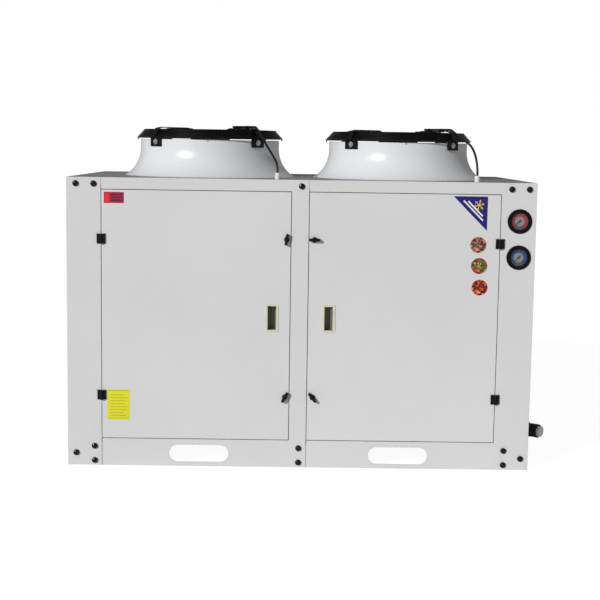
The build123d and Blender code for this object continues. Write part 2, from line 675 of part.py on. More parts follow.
def hinge_leaf(x, z, side, on_door):
    """Leaf of a block hinge with its knuckles on one side of the pin."""
    y_axis = Y_FRONT - HINGE_AXIS_OUT
    inner = HINGE_KNUCKLE_R + 0.5
    low, high = -HINGE_H / 2, HINGE_H / 2
    xa, xb = sorted((side * inner, side * HINGE_LEAF_W))
    plate = block(xa, xb, -HINGE_LEAF_T, 0, low, high)
    outer_edges = [
        edge
        for edge in plate.edges()
        if abs(edge.center().Y + HINGE_LEAF_T) < 0.01 and abs(abs(edge.center().X) - inner) > 0.01
    ]
    plate = chamfer(outer_edges, HINGE_CHAMFER)
    middle = HINGE_MIDDLE / 2
    spans = [(-middle, middle)] if on_door else [(low, -middle - GAP), (middle + GAP, high)]
    leaf = Pos(x, Y_FRONT, z) * plate
    for s0, s1 in spans:
        xa, xb = sorted((0, side * (inner + 1)))
        leaf += block(x + xa, x + xb, Y_FRONT - HINGE_LEAF_T, Y_FRONT - 0.5, z + s0, z + s1)
        leaf += post(x, y_axis, z + s0, z + s1, HINGE_KNUCKLE_R)
    return leaf - post(x, y_axis, z + low - 1, z + high + 1, HINGE_PIN_R + RUN_CLEAR)


def latch(x, z, wing_angle, cam_angle):
    """Quarter-turn wing knob on its spindle, and the cam behind the door."""
    y_knob = Y_FRONT - GAP
    y_cam = LIP_BACK + CAM_GAP
    knob = across(x, z, y_knob - KNOB_BASE_T, y_knob, KNOB_BASE_R)
    wing = extrude(Plane.XZ * SlotOverall(WING_L, WING_T), amount=WING_H)
    top = wing.faces().sort_by(Axis.Y)[0]
    wing = fillet(top.edges(), WING_T * 0.22)
    wing = Pos(x, y_knob - KNOB_BASE_T + 1, z) * Rot(0, -wing_angle, 0) * wing
    spindle = across(x, z, y_knob - 1, y_cam + CAM_T + 3, SPINDLE_R)
    cam = Pos((CAM_L - CAM_HUB) / 2, 0, 0) * extrude(
        Plane.XZ * SlotOverall(CAM_L + CAM_HUB, CAM_W), amount=-CAM_T
    )
    cam = Pos(x, y_cam, z) * Rot(0, -cam_angle, 0) * cam
    cam -= across(x, z, y_cam - 1, y_cam + CAM_T + 1, SPINDLE_R + 0.02)
    return group([knob + wing + spindle, cam])


post_leaves = []
pins = []
LEFT_LATCHES = (
    ("left_upper_latch", LATCH_HIGH_Z, LEFT_HIGH_WING, LEFT_HIGH_CAM),
    ("left_lower_latch", LATCH_LOW_Z, LEFT_LOW_WING, LEFT_LOW_CAM),
)
RIGHT_LATCHES = (
    ("right_upper_latch", LATCH_HIGH_Z, RIGHT_HIGH_WING, RIGHT_HIGH_CAM),
    ("right_lower_latch", LATCH_LOW_Z, RIGHT_LOW_WING, RIGHT_LOW_CAM),
)
door_set("left_door", X_POST_L, X_MID_L, LEFT_HANDLE_IN, LEFT_LATCH_IN, LEFT_LATCHES)
door_set("right_door", X_POST_R, X_MID_R, RIGHT_HANDLE_IN, RIGHT_LATCH_IN, RIGHT_LATCHES)
keep("hinge_post_leaves", group(post_leaves))
keep("hinge_pins", group(pins))

# ================================================================ fans
Z_STRAIGHT = ROOF + COWL_TOP - COWL_STRAIGHT
Z_COWL = ROOF + COWL_TOP
# the flare leaves the cylinder smoothly and meets the roof at a slant
FLARE_DROP = Z_STRAIGHT - ROOF
FLARE_AXIS_R = COWL_R + COWL_FLARE_R


def flare(radius, height):
    """Radius of the flare's surface at a height above the roof."""
    return FLARE_AXIS_R - (radius**2 - (FLARE_DROP - height) ** 2) ** 0.5


COWL_BASE_R = flare(COWL_FLARE_R, 0)
INNER_FLARE_R = COWL_FLARE_R + COWL_WALL
INNER_BASE_R = flare(INNER_FLARE_R, COWL_FOOT_T)
outer_arc = ThreePointArc(
    (COWL_R, Z_STRAIGHT),
    (flare(COWL_FLARE_R, FLARE_DROP / 2), ROOF + FLARE_DROP / 2),
    (COWL_BASE_R, ROOF),
)
inner_arc = ThreePointArc(
    (COWL_R - COWL_WALL, Z_STRAIGHT),
    (flare(INNER_FLARE_R, FLARE_DROP / 2), ROOF + FLARE_DROP / 2),
    (INNER_BASE_R, ROOF + COWL_FOOT_T),
)
cowl_edges = [
    Line((COWL_R - COWL_WALL, Z_COWL), (COWL_R, Z_COWL)),
    Line((COWL_R, Z_COWL), (COWL_R, Z_STRAIGHT)),
    outer_arc,
    Line((COWL_BASE_R, ROOF), (COWL_BASE_R - COWL_FOOT, ROOF)),
    Line((COWL_BASE_R - COWL_FOOT, ROOF), (COWL_BASE_R - COWL_FOOT, ROOF + COWL_FOOT_T)),
    Line((COWL_BASE_R - COWL_FOOT, ROOF + COWL_FOOT_T), (INNER_BASE_R, ROOF + COWL_FOOT_T)),
    inner_arc,
    Line((COWL_R - COWL_WALL, Z_STRAIGHT), (COWL_R - COWL_WALL, Z_COWL)),
]
cowl = revolve(Plane.XZ * make_face(cowl_edges), Axis.Z)
for quarter in range(4):
    bolt_bar = Pos(COWL_R, 0, ROOF + FOOT_BOLT_H) * Rot(0, 90, 0) * Cylinder(BOLT_SHANK_R + RUN_CLEAR, 40)
    cowl -= Rot(0, 0, 45 + 90 * quarter) * bolt_bar

Z_GUARD = ROOF + GUARD_TOP
Z_RIM = ROOF + GUARD_RIM_H
guard_bits = []
ring_r = GUARD_TOP_R
while ring_r > GUARD_INNER_R:
    guard_bits.append(wire_ring(ring_r, Z_GUARD, GUARD_WIRE))
    ring_r -= GUARD_PITCH
for index in range(1, GUARD_SIDE_RINGS + 1):
    share = index / (GUARD_SIDE_RINGS + 1)
    side_r = GUARD_TOP_R + (GUARD_RIM_R - GUARD_TOP_R) * share
    side_z = Z_GUARD + (Z_RIM - Z_GUARD) * share
    guard_bits.append(wire_ring(side_r, side_z, GUARD_WIRE))
guard_bits.append(wire_ring(GUARD_RIM_R, Z_RIM, GUARD_RIM_WIRE))
Z_SPOKE = Z_GUARD - GUARD_WIRE / 2 - 0.6
spoke_path = [
    (GUARD_INNER_R - 20, 0, Z_SPOKE),
    (GUARD_TOP_R - 2, 0, Z_SPOKE),
    (GUARD_RIM_R - 1.5, 0, Z_RIM),
    (GUARD_RIM_R - 1.5, 0, Z_RIM - 8),
]
spoke = tube(spoke_path, [3, 3], GUARD_WIRE / 2)
Z_STRAP = ROOF + STRAP_RISE - STRAP_T / 2
strap_path = [
    (COWL_R + FOOT_T / 2, ROOF + FOOT_LOW),
    (COWL_R + FOOT_T / 2, ROOF + FOOT_HIGH),
    (GUARD_RIM_R + 3.0, Z_RIM + 3.5),
    (GUARD_TOP_R + 8.0, Z_STRAP - 4),
    (GUARD_TOP_R - 8.0, Z_STRAP),
    (GUARD_INNER_R + 22, Z_STRAP),
    (GUARD_INNER_R - 4, Z_GUARD),
    (GUARD_INNER_R - 24, Z_GUARD),
]
strap = extrude(Plane.XZ * outline(ribbon(strap_path, STRAP_T)), amount=STRAP_W / 2, both=True)
foot_block = block(
    COWL_R, COWL_R + FOOT_T, -FOOT_W / 2, FOOT_W / 2, ROOF + FOOT_LOW, ROOF + FOOT_HIGH
)
strap_foot = strap + foot_block
strap_foot -= Pos(COWL_R, 0, ROOF + FOOT_BOLT_H) * Rot(0, 90, 0) * Cylinder(BOLT_SHANK_R + RUN_CLEAR, 40)
for quarter in range(4):
    guard_bits.append(Rot(0, 0, 90 * quarter) * spoke)
    guard_bits.append(Rot(0, 0, 45 + 90 * quarter) * strap_foot)
Z_PLATE = Z_GUARD - GUARD_PLATE_T / 2
guard_bits.append(post(0, 0, Z_PLATE, Z_PLATE + GUARD_PLATE_T, GUARD_INNER_R + 3))
guard = Part() + guard_bits

guard_bolt = Pos(COWL_R + FOOT_T, 0, ROOF + FOOT_BOLT_H) * Rot(0, 90, 0) * (
    Pos(0, 0, FOOT_WASHER_T / 2) * Cylinder(FOOT_WASHER_R, FOOT_WASHER_T)
    + Pos(0, 0, FOOT_WASHER_T + FOOT_BOLT_T / 2) * extrude(
        RegularPolygon(FOOT_BOLT_R, 6), amount=FOOT_BOLT_T / 2, both=True
    )
    + Pos(0, 0, -4) * Cylinder(BOLT_SHANK_R, 8)
)

Z_STATOR = Z_PLATE
Z_ROTOR = Z_STATOR - MOTOR_CAP_T - ROTOR_DROP
motor = post(0, 0, Z_STATOR - MOTOR_CAP_T, Z_STATOR, MOTOR_R)
motor = chamfer(motor.faces().sort_by(Axis.Z)[0].edges(), 4)
motor += post(0, 0, Z_ROTOR - ROTOR_H, Z_STATOR - 5, SHAFT_R)

BLADE_R = COWL_R - COWL_WALL - BLADE_TIP_GAP
blade_bar = Box(BLADE_R - ROTOR_R + 25, BLADE_CHORD, BLADE_T)
blade_mid = ROTOR_R - 25 + (BLADE_R - ROTOR_R + 25) / 2
camber_r = BLADE_CHORD * 1.6
camber = Cylinder(camber_r, MANY / 8) - Cylinder(camber_r - BLADE_T, MANY / 8)
camber = Pos(0, 0, -camber_r) * Rot(0, 90, 0) * camber
blade = camber & (Pos(blade_mid, 0, 0) * Box(2 * (blade_mid - 40), BLADE_CHORD, BLADE_CHORD))
Z_BLADE = Z_ROTOR - ROTOR_H / 2
blade = Pos(0, 0, Z_BLADE) * Rot(BLADE_PITCH, 0, 0) * blade
rotor_can = post(0, 0, Z_ROTOR - ROTOR_H, Z_ROTOR, ROTOR_R)
rotor = rotor_can
for index in range(BLADE_COUNT):
    rotor += Rot(0, 0, 360 / BLADE_COUNT * index) * blade
rotor &= post(0, 0, ROOF, Z_ROTOR + 5, BLADE_R)
rotor -= post(0, 0, ROOF, Z_ROTOR + 5, SHAFT_R + RUN_CLEAR)

guard_bolts = []
for tag, fan_x in (("left", FAN_LEFT_X), ("right", FAN_RIGHT_X)):
    keep("fan_cowl_" + tag, Pos(fan_x, 0, 0) * cowl)
    keep("fan_guard_" + tag, Pos(fan_x, 0, 0) * guard)
    keep("fan_motor_" + tag, Pos(fan_x, 0, 0) * motor)
    keep("fan_rotor_" + tag, Pos(fan_x, 0, 0) * rotor)
    for quarter in range(4):
        guard_bolts.append(Pos(fan_x, 0, 0) * Rot(0, 0, 45 + 90 * quarter) * guard_bolt)
keep("guard_bolts", group(guard_bolts))

# ================================================================ motor leads
glands = []
DIAG = cos(radians(45))
for tag, fan_x, gland_x, rise, bow in (
    ("left", FAN_LEFT_X, GLAND_LEFT_X, LEFT_LEAD_RISE, LEFT_LEAD_BEND),
    ("right", FAN_RIGHT_X, GLAND_RIGHT_X, RIGHT_LEAD_RISE, RIGHT_LEAD_BEND),
):
    lie = ROOF + STRAP_RISE + CABLE_D / 2 + GAP
    start = GUARD_INNER_R + 30
    over = GUARD_TOP_R + 4
    z_gland = ROOF + GLAND_H
    points = [
        (fan_x + start * DIAG, -start * DIAG, lie),
        (fan_x + over * DIAG, -over * DIAG, lie),
        (gland_x, GLAND_Y, z_gland + rise),
        (gland_x, GLAND_Y, ROOF - CABLE_INSIDE),
    ]
    keep("motor_cable_" + tag, tube(points, [LEAD_BEND, bow], CABLE_D / 2))
    body = post(gland_x, GLAND_Y, ROOF, ROOF + GLAND_H, GLAND_R)
    body = fillet(body.faces().sort_by(Axis.Z)[-1].edges(), GLAND_R * 0.5)
    body += post(gland_x, GLAND_Y, Z_WALL - 8, ROOF + 1, GLAND_R - 2.1)
    body -= post(gland_x, GLAND_Y, Z_WALL - 20, ROOF + GLAND_H + 5, CABLE_D / 2 + RUN_CLEAR)
    glands.append(body)
keep("cable_glands", group(glands))


# ================================================================ gauges
def gauge(name, z):
    """Panel gauge: case with its flange and bezel."""
    front = Y_FRONT - GAUGE_PROUD
    case = across(GAUGE_X, z, Y_FRONT - GAUGE_PROUD + GAUGE_BEZEL_T, Y_FRONT, GAUGE_FLANGE_R)
    case = fillet(case.faces().sort_by(Axis.Y)[0].edges(), 2.0)
    bezel = across(GAUGE_X, z, front, Y_FRONT, GAUGE_BEZEL_R)
    case += chamfer(bezel.faces().sort_by(Axis.Y)[0].edges(), 1.0)
    case += across(GAUGE_X, z, Y_FRONT, Y_FRONT + GAUGE_DEPTH, GAUGE_BODY_R)
    case += across(GAUGE_X, z - 12, Y_FRONT + GAUGE_DEPTH, Y_FRONT + GAUGE_DEPTH + 14, 7)
    case -= across(GAUGE_X, z, front - 1, Y_FRONT + 2, GAUGE_DIAL_R + 0.1)
    case -= across(GAUGE_X, z, Y_FRONT, Y_FRONT + 8, NEEDLE_ARBOR_R + 1)
    keep(name + "_case", case)
    y_dial = Y_FRONT + 2
    dial = across(GAUGE_X, z, y_dial - GAUGE_DIAL_T, y_dial, GAUGE_DIAL_R)
    dial -= across(GAUGE_X, z, y_dial - 5, y_dial + 5, NEEDLE_ARBOR_R + RUN_CLEAR)
    y_lens = front + 1.0
    lens = across(GAUGE_X, z, y_lens, y_lens + GAUGE_LENS_T, GAUGE_DIAL_R)
    y_needle = y_dial - GAUGE_DIAL_T - 1.5
    blade_points = [
        (-NEEDLE_TAIL, -1.6),
        (-NEEDLE_TAIL, 1.6),
        (0, 1.3),
        (NEEDLE_L, 0.5),
        (NEEDLE_L, -0.5),
        (0, -1.3),
    ]
    needle = extrude(Plane.XZ * outline(blade_points), amount=NEEDLE_T)
    needle = Pos(GAUGE_X, y_needle, z) * Rot(0, -NEEDLE_ZERO, 0) * needle
    needle += across(GAUGE_X, z, y_needle - NEEDLE_T - 0.4, y_dial + 4, NEEDLE_ARBOR_R)
    needle += across(GAUGE_X, z, y_needle - NEEDLE_T - 0.4, y_needle, 3.2)
    keep(name + "_needle", needle)
    return dial, lens


red_dial, red_lens = gauge("red_gauge", GAUGE_HIGH_Z)
blue_dial, blue_lens = gauge("blue_gauge", GAUGE_LOW_Z)
keep("gauge_dials", group([red_dial, blue_dial]))
keep("gauge_lenses", group([red_lens, blue_lens]))

# ================================================================ condenser coil
half_coil = COIL_W / 2
fins = block(-half_coil, half_coil, COIL_Y0, COIL_Y1, COIL_Z, COIL_Z + COIL_H)
keep("condenser_fin_pack", fins)
ends = []
for side in (-1, 1):
    x0, x1 = sorted((side * half_coil, side * (half_coil + END_PLATE_T)))
    ends.append(block(x0, x1, COIL_Y0 - 8, COIL_Y1, Z_FLOOR, COIL_Z + COIL_H + 10))
keep("condenser_end_plates", group(ends))
bends = []
arc_pitch = COIL_H / BEND_COUNT
for side in (-1, 1):
    for index in range(BEND_COUNT):
        z_mid = COIL_Z + arc_pitch * (index + 0.5)
        x_face = side * (half_coil + END_PLATE_T)
        half_turn = Torus(BEND_R, TUBE_R) & block(0, MANY, -MANY, MANY, -MANY, MANY)
        turn = Rot(90, 0, 0) * half_turn
        turn = turn if side > 0 else Rot(0, 0, 180) * turn
        y_mid = (COIL_Y0 + COIL_Y1) / 2
        bends.append(Pos(x_face, y_mid, z_mid) * turn)
keep("condenser_return_bends", group(bends))

# ================================================================ compressor
Z_COMP = Z_FLOOR + MOUNT_H + COMP_FOOT_T
x_crank = COMP_X + CRANK_L / 2
x_barrel = COMP_X - CRANK_L / 2 - BARREL_L
z_axis = Z_COMP + BARREL_R
comp = along(COMP_Y, z_axis, x_barrel, COMP_X, BARREL_R)
comp = fillet(comp.faces().sort_by(Axis.X)[0].edges(), 18)
comp += block(
    COMP_X - CRANK_L / 2, x_crank, COMP_Y - CRANK_W / 2, COMP_Y + CRANK_W / 2, Z_COMP, Z_COMP + CRANK_H
)
comp += along(COMP_Y, z_axis, x_barrel + 20, x_barrel + 44, BARREL_R + 8)
for foot_x in (x_barrel + 70, COMP_X + CRANK_L / 2 - 50):
    comp += block(
        foot_x - 30,
        foot_x + 30,
        COMP_Y - CRANK_W / 2 - 25,
        COMP_Y + CRANK_W / 2 + 25,
        Z_COMP - COMP_FOOT_T,
        Z_COMP + 30,
    )
keep("compressor_body", comp)
heads = []
for side in (-1, 1):
    y_head = COMP_Y + side * (HEAD_W / 2 + 8)
    head = block(
        COMP_X - HEAD_L / 2,
        COMP_X + HEAD_L / 2,
        y_head - HEAD_W / 2,
        y_head + HEAD_W / 2,
        Z_COMP + CRANK_H,
        Z_COMP + CRANK_H + HEAD_T,
    )
    heads.append(fillet(head.edges().filter_by(Axis.Z), 14))
keep("compressor_heads", group(heads))
mounts = []
for foot_x in (x_barrel + 70, COMP_X + CRANK_L / 2 - 50):
    for side in (-1, 1):
        y_foot = COMP_Y + side * CRANK_W / 2
        mounts.append(post(foot_x, y_foot, Z_FLOOR, Z_FLOOR + MOUNT_H, MOUNT_R))
keep("compressor_mounts", group(mounts))


# ================================================================ vessels
def nozzle(shape, x, y, z0, z1, r):
    """Upright pipe socket on a vessel."""
    return shape + post(x, y, z0, z1, r + NOZZLE_WALL)


z_rec = Z_FLOOR + RECEIVER_LIFT + RECEIVER_R
rec_x0 = RECEIVER_X - RECEIVER_L / 2
rec_x1 = RECEIVER_X + RECEIVER_L / 2
receiver = along(RECEIVER_Y, z_rec, rec_x0, rec_x1, RECEIVER_R)
receiver = fillet(receiver.edges().filter_by(GeomType.CIRCLE), RECEIVER_R * 0.45)
for foot_x in (rec_x0 + 120, rec_x1 - 120):
    receiver += block(
        foot_x - 20, foot_x + 20, RECEIVER_Y - 70, RECEIVER_Y + 70, Z_FLOOR, z_rec - RECEIVER_R * 0.7
    )
z_rec_top = z_rec + RECEIVER_R + NOZZLE_L
REC_IN_X = rec_x0 + 150
REC_OUT_X = rec_x1 - 150
receiver = nozzle(receiver, REC_IN_X, RECEIVER_Y, z_rec, z_rec_top, LIQUID_R)
receiver = nozzle(receiver, REC_OUT_X, RECEIVER_Y, z_rec, z_rec_top, LIQUID_R)
keep("liquid_receiver", receiver)

z_sep = Z_FLOOR + SEPARATOR_H
separator = post(SEPARATOR_X, SEPARATOR_Y, Z_FLOOR, z_sep, SEPARATOR_R)
separator = fillet(separator.faces().sort_by(Axis.Z)[-1].edges(), SEPARATOR_R * 0.45)
SEP_IN_Y = SEPARATOR_Y - 25
SEP_OUT_Y = SEPARATOR_Y + 25
z_sep_top = z_sep + NOZZLE_L
separator = nozzle(separator, SEPARATOR_X, SEP_IN_Y, z_sep - 30, z_sep_top, GAS_R)
separator = nozzle(separator, SEPARATOR_X, SEP_OUT_Y, z_sep - 30, z_sep_top, GAS_R)
keep("oil_separator", separator)

# ================================================================ control box
z_box = Z_FLOOR + BOX_H
y_box = LIP_BACK + BOX_FROM_DOOR
control = block(BOX_X, BOX_X + BOX_W, y_box, y_box + BOX_D, Z_FLOOR, z_box)
keep("control_box", control)

# ================================================================ pipework
z_head = Z_COMP + CRANK_H + HEAD_T
y_head_back = COMP_Y + HEAD_W / 2 + 8
z_high = z_head + 130
gas_one = tube(
    [
        (COMP_X, y_head_back, z_head),
        (COMP_X, y_head_back, z_high),
        (SEPARATOR_X, SEP_IN_Y, z_high),
        (SEPARATOR_X, SEP_IN_Y, z_sep_top),
    ],
    [45, 45],
    GAS_R,
)
y_coil_pipe = COIL_Y0 - 8
coil_x = half_coil - 60
gas_two = tube(
    [
        (SEPARATOR_X, SEP_OUT_Y, z_sep_top),
        (SEPARATOR_X, SEP_OUT_Y, z_high + 130),
        (SEPARATOR_X, COIL_Y0, z_high + 130),
    ],
    [45],
    GAS_R,
)
keep("discharge_pipes", group([gas_one, gas_two]))
z_liquid = z_rec_top + 90
liquid_one = tube(
    [
        (REC_IN_X, COIL_Y0, z_liquid),
        (REC_IN_X, RECEIVER_Y, z_liquid),
        (REC_IN_X, RECEIVER_Y, z_rec_top),
    ],
    [35],
    LIQUID_R,
)
DRIER_X = REC_OUT_X
z_drier = z_rec_top + 60
drier = post(DRIER_X, RECEIVER_Y, z_drier, z_drier + DRIER_L, DRIER_R)
drier = fillet(drier.edges().filter_by(GeomType.CIRCLE), DRIER_R * 0.4)
keep("filter_drier", drier)
liquid_two = post(DRIER_X, RECEIVER_Y, z_rec_top, z_drier, LIQUID_R)
z_over = z_drier + DRIER_L + 70
x_riser = X_SIDE - SIDE_FLANGE - 60
x_stub = X_SIDE + STUB_OUT
liquid_three = tube(
    [
        (DRIER_X, RECEIVER_Y, z_drier + DRIER_L),
        (DRIER_X, RECEIVER_Y, z_over),
        (x_riser, RECEIVER_Y, z_over),
        (x_riser, LIQUID_STUB_Y, z_over),
        (x_riser, LIQUID_STUB_Y, STUB_Z),
        (x_stub, LIQUID_STUB_Y, STUB_Z),
    ],
    [35, 35, 35, 35],
    LIQUID_R,
)
keep("liquid_pipes", group([liquid_one, liquid_two, liquid_three]))

lean = radians(STUB_ANGLE)
bend = (x_stub, STUB_Y, STUB_Z)
tip = (x_stub + STUB_TIP * cos(lean), STUB_Y - STUB_TIP * sin(lean), STUB_Z)
y_suction = COMP_Y - 60
z_suction = Z_COMP + 150
x_down = x_riser - SLEEVE_R - LIQUID_R - 6
suction = tube(
    [
        (x_crank, y_suction, z_suction),
        (x_down, y_suction, z_suction),
        (x_down, STUB_Y, z_suction),
        (x_down, STUB_Y, STUB_Z),
        bend,
        tip,
    ],
    [50, 50, 50, STUB_BEND_R],
    SUCTION_R,
)
keep("suction_pipe", suction)
sleeve_path = [(X_SIDE - 50, STUB_Y, STUB_Z), bend, tip]
sleeve = tube(sleeve_path, [STUB_BEND_R], SLEEVE_R)
sleeve -= tube(sleeve_path, [STUB_BEND_R], SUCTION_R + RUN_CLEAR)
keep("suction_sleeve", sleeve)
suction_cap = Pos(*tip) * Rot(0, 0, -STUB_ANGLE) * Rot(0, 90, 0) * (
    Pos(0, 0, STUB_CAP_T / 2) * Cylinder(STUB_CAP_R, STUB_CAP_T)
)
liquid_cap = along(LIQUID_STUB_Y, STUB_Z, x_stub, x_stub + STUB_CAP_T, LIQUID_R + 2)
keep("stub_caps", group([suction_cap, liquid_cap]))
grommets = []
for y_hole, pipe_r, hole_r in (
    (STUB_Y, SLEEVE_R, SUCTION_HOLE_R),
    (LIQUID_STUB_Y, LIQUID_R, LIQUID_HOLE_R),
):
    ring = along(y_hole, STUB_Z, X_SIDE - SKIN_T, X_SIDE + 1, hole_r)
    ring += along(y_hole, STUB_Z, X_SIDE, X_SIDE + GROMMET_T, hole_r + GROMMET_RIM)
    ring -= along(y_hole, STUB_Z, X_SIDE - 9, X_SIDE + GROMMET_T + 1, pipe_r + RUN_CLEAR)
    grommets.append(ring)
keep("stub_grommets", group(grommets))

os.makedirs("parts", exist_ok=True)
for name, shape in nodes.items():
    export_step(shape, "parts/" + name + ".step")
print(len(nodes), "nodes")
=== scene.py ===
"""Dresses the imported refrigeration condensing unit: finishes, labels, gauge faces and studio."""

from __future__ import annotations

import logging
import math
from dataclasses import dataclass, field
from enum import Enum

import bmesh
import bpy
from mathutils import Matrix, Vector


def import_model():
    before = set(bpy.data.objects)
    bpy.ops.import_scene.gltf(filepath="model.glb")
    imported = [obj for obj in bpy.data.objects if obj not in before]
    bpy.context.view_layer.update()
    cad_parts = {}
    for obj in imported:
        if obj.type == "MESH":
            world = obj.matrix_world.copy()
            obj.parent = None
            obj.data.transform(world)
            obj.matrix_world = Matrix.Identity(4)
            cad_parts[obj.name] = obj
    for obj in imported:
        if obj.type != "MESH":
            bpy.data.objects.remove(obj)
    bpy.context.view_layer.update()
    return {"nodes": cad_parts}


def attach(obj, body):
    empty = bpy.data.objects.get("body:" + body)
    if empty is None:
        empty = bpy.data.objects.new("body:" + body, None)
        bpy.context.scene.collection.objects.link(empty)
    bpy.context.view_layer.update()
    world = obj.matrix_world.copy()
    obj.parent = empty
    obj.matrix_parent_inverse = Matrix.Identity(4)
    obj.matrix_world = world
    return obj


LOG = logging.getLogger("condensing_unit")
Colour = tuple[float, float, float]


class Grain(Enum):
    """Surface character of a finish."""

    COATED = "coated"
    CAST = "cast"
    BRUSHED = "brushed"
    FOAM = "foam"
    MOULDED = "moulded"
    FINNED = "finned"
    CLEAR = "clear"
    FOOD = "food"


@dataclass(frozen=True)
class Finish:
    """One procedural material.

    Args:
        name: Material name.
        colour: Base colour, linear.
        grain: Surface character.
        roughness: Mean roughness.
        metallic: Metallic share.
        scale: Pattern size, in repeats per metre.
        bump: Depth of the relief, in metres.
        vary: How far the colour drifts.
        coat: Clear coat's share.
        second: Other colour of the pattern, if it has one; for fins it is painted shade between
            them.
        third: Third colour of the pattern, if it has one.
        centre: Middle of a centred pattern, in metres.
        gloss: Strength of the plain reflection.
        clear: Opacity of a clear finish.
        painted_shade: Colour of the painted shade past a depth, if any.
        painted_shade_y: That depth, along Y, in metres.
    """

    name: str
    colour: Colour
    grain: Grain = Grain.COATED
    roughness: float = 0.45
    metallic: float = 0.0
    scale: float = 400.0
    bump: float = 0.00004
    vary: float = 0.03
    coat: float = 0.0
    second: Colour | None = None
    third: Colour | None = None
    centre: tuple[float, float, float] = (0.0, 0.0, 0.0)
    gloss: float = 0.5
    clear: float = 0.012
    # Painted shade: a darker colour for everything past a depth along Y.
    painted_shade: Colour | None = None
    painted_shade_y: float = 0.0

    def material(self) -> bpy.types.Material:
        """Return the material, building it on first use."""
        found = bpy.data.materials.get(self.name)
        return found if found is not None else self._build()

    def _build(self) -> bpy.types.Material:
        """Build the node tree."""
        mat = bpy.data.materials.new(self.name)
        mat.use_nodes = True
        mat.diffuse_color = (*self.colour, 1.0)
        tree = mat.node_tree
        shader = tree.nodes["Principled BSDF"]
        shader.inputs["Metallic"].default_value = self.metallic
        shader.inputs["Specular IOR Level"].default_value = self.gloss
        shader.inputs["Coat Weight"].default_value = self.coat
        shader.inputs["Coat Roughness"].default_value = 0.08
        coords = tree.nodes.new("ShaderNodeTexCoord")
        place = tree.nodes.new("ShaderNodeMapping")
        place.vector_type = "POINT"
        place.inputs["Location"].default_value = [-c for c in self.centre]
        tree.links.new(coords.outputs["Object"], place.inputs["Vector"])
        if self.grain is Grain.CLEAR:
            shader.inputs["Base Color"].default_value = (*self.colour, 1.0)
            shader.inputs["Roughness"].default_value = self.roughness
            shader.inputs["Alpha"].default_value = self.clear
            return mat
        self._colour(tree, shader, place)
        self._roughness(tree, shader, place)
        self._relief(tree, shader, place)
        return mat

    def _noise(self, tree, place, scale: float, detail: float = 3.0) -> bpy.types.NodeSocket:
        """Return the value of a noise at a scale."""
        node = tree.nodes.new("ShaderNodeTexNoise")
        node.inputs["Scale"].default_value = scale
        node.inputs["Detail"].default_value = detail
        tree.links.new(place.outputs["Vector"], node.inputs["Vector"])
        return node.outputs["Fac"]

    def _ramp(self, tree, value, stops: list[tuple[float, Colour]], hard: bool = False):
        """Return a colour ramp's output for a value."""
        ramp = tree.nodes.new("ShaderNodeValToRGB")
        ramp.color_ramp.interpolation = "CONSTANT" if hard else "LINEAR"
        while len(ramp.color_ramp.elements) < len(stops):
            ramp.color_ramp.elements.new(0.5)
        for element, (position, colour) in zip(ramp.color_ramp.elements, stops):
            element.position = position
            element.color = (*colour, 1.0)
        tree.links.new(value, ramp.inputs["Fac"])
        return ramp.outputs["Color"]

    def _colour(self, tree, shader, place) -> None:
        """Wire the base colour."""
        low = tuple(max(0.0, c * (1.0 - self.vary)) for c in self.colour)
        high = tuple(min(1.0, c * (1.0 + self.vary)) for c in self.colour)
        if self.grain is Grain.FOOD:
            cells = tree.nodes.new("ShaderNodeTexVoronoi")
            cells.inputs["Scale"].default_value = self.scale
            tree.links.new(place.outputs["Vector"], cells.inputs["Vector"])
            split = tree.nodes.new("ShaderNodeSeparateColor")
            tree.links.new(cells.outputs["Color"], split.inputs["Color"])
            dark = tuple(c * 0.3 for c in low)
            pale = tuple(min(1.0, c * 1.3 + 0.12) for c in self.second)
            stops = [
                (0.0, dark),
                (0.20, low),
                (0.38, self.second),
                (0.58, self.third),
                (0.74, high),
                (0.90, pale),
            ]
            tree.links.new(
                self._ramp(tree, split.outputs["Red"], stops, hard=True),
                shader.inputs["Base Color"],
            )
            return
        if self.grain is Grain.FINNED:
            wave = tree.nodes.new("ShaderNodeTexWave")
            wave.bands_direction = "X"
            wave.inputs["Scale"].default_value = self.scale
            tree.links.new(place.outputs["Vector"], wave.inputs["Vector"])
            # The dark end of the stripes is painted shade between the fins.
            stops = [(0.0, self.second or low), (0.45, low), (1.0, high)]
            tree.links.new(
                self._ramp(tree, wave.outputs["Fac"], stops), shader.inputs["Base Color"]
            )
            return
        scale = 2.2 if self.grain is Grain.COATED else self.scale * 0.05
        value = self._noise(tree, place, scale, 4.0)
        stops = [(0.3, low), (0.7, high)]
        shade = self._ramp(tree, value, stops)
        # Painted shade: swap to a darker colour past a depth along Y.
        if self.painted_shade is not None:
            shade = self._paint_shade(tree, place, shade)
        tree.links.new(shade, shader.inputs["Base Color"])

    def _paint_shade(self, tree, place, shade) -> bpy.types.NodeSocket:
        """Swap the colour for the painted shade colour past a depth along Y."""
        split = tree.nodes.new("ShaderNodeSeparateXYZ")
        shade_mask = tree.nodes.new("ShaderNodeMath")
        shade_mask.operation = "GREATER_THAN"
        shade_mask.inputs[1].default_value = self.painted_shade_y
        mix = tree.nodes.new("ShaderNodeMix")
        mix.data_type = "RGBA"
        mix.inputs[7].default_value = (*self.painted_shade, 1.0)
        tree.links.new(place.outputs["Vector"], split.inputs["Vector"])
        tree.links.new(split.outputs["Y"], shade_mask.inputs[0])
        tree.links.new(shade_mask.outputs["Value"], mix.inputs[0])
        tree.links.new(shade, mix.inputs[6])
        return mix.outputs[2]

    def _roughness(self, tree, shader, place) -> None:
        """Wire the roughness."""
        value = self._noise(tree, place, self.scale * 0.12, 3.0)
        span = tree.nodes.new("ShaderNodeMapRange")
        span.inputs["To Min"].default_value = max(0.03, self.roughness - 0.08)
        span.inputs["To Max"].default_value = min(1.0, self.roughness + 0.08)
        tree.links.new(value, span.inputs["Value"])
        tree.links.new(span.outputs["Result"], shader.inputs["Roughness"])

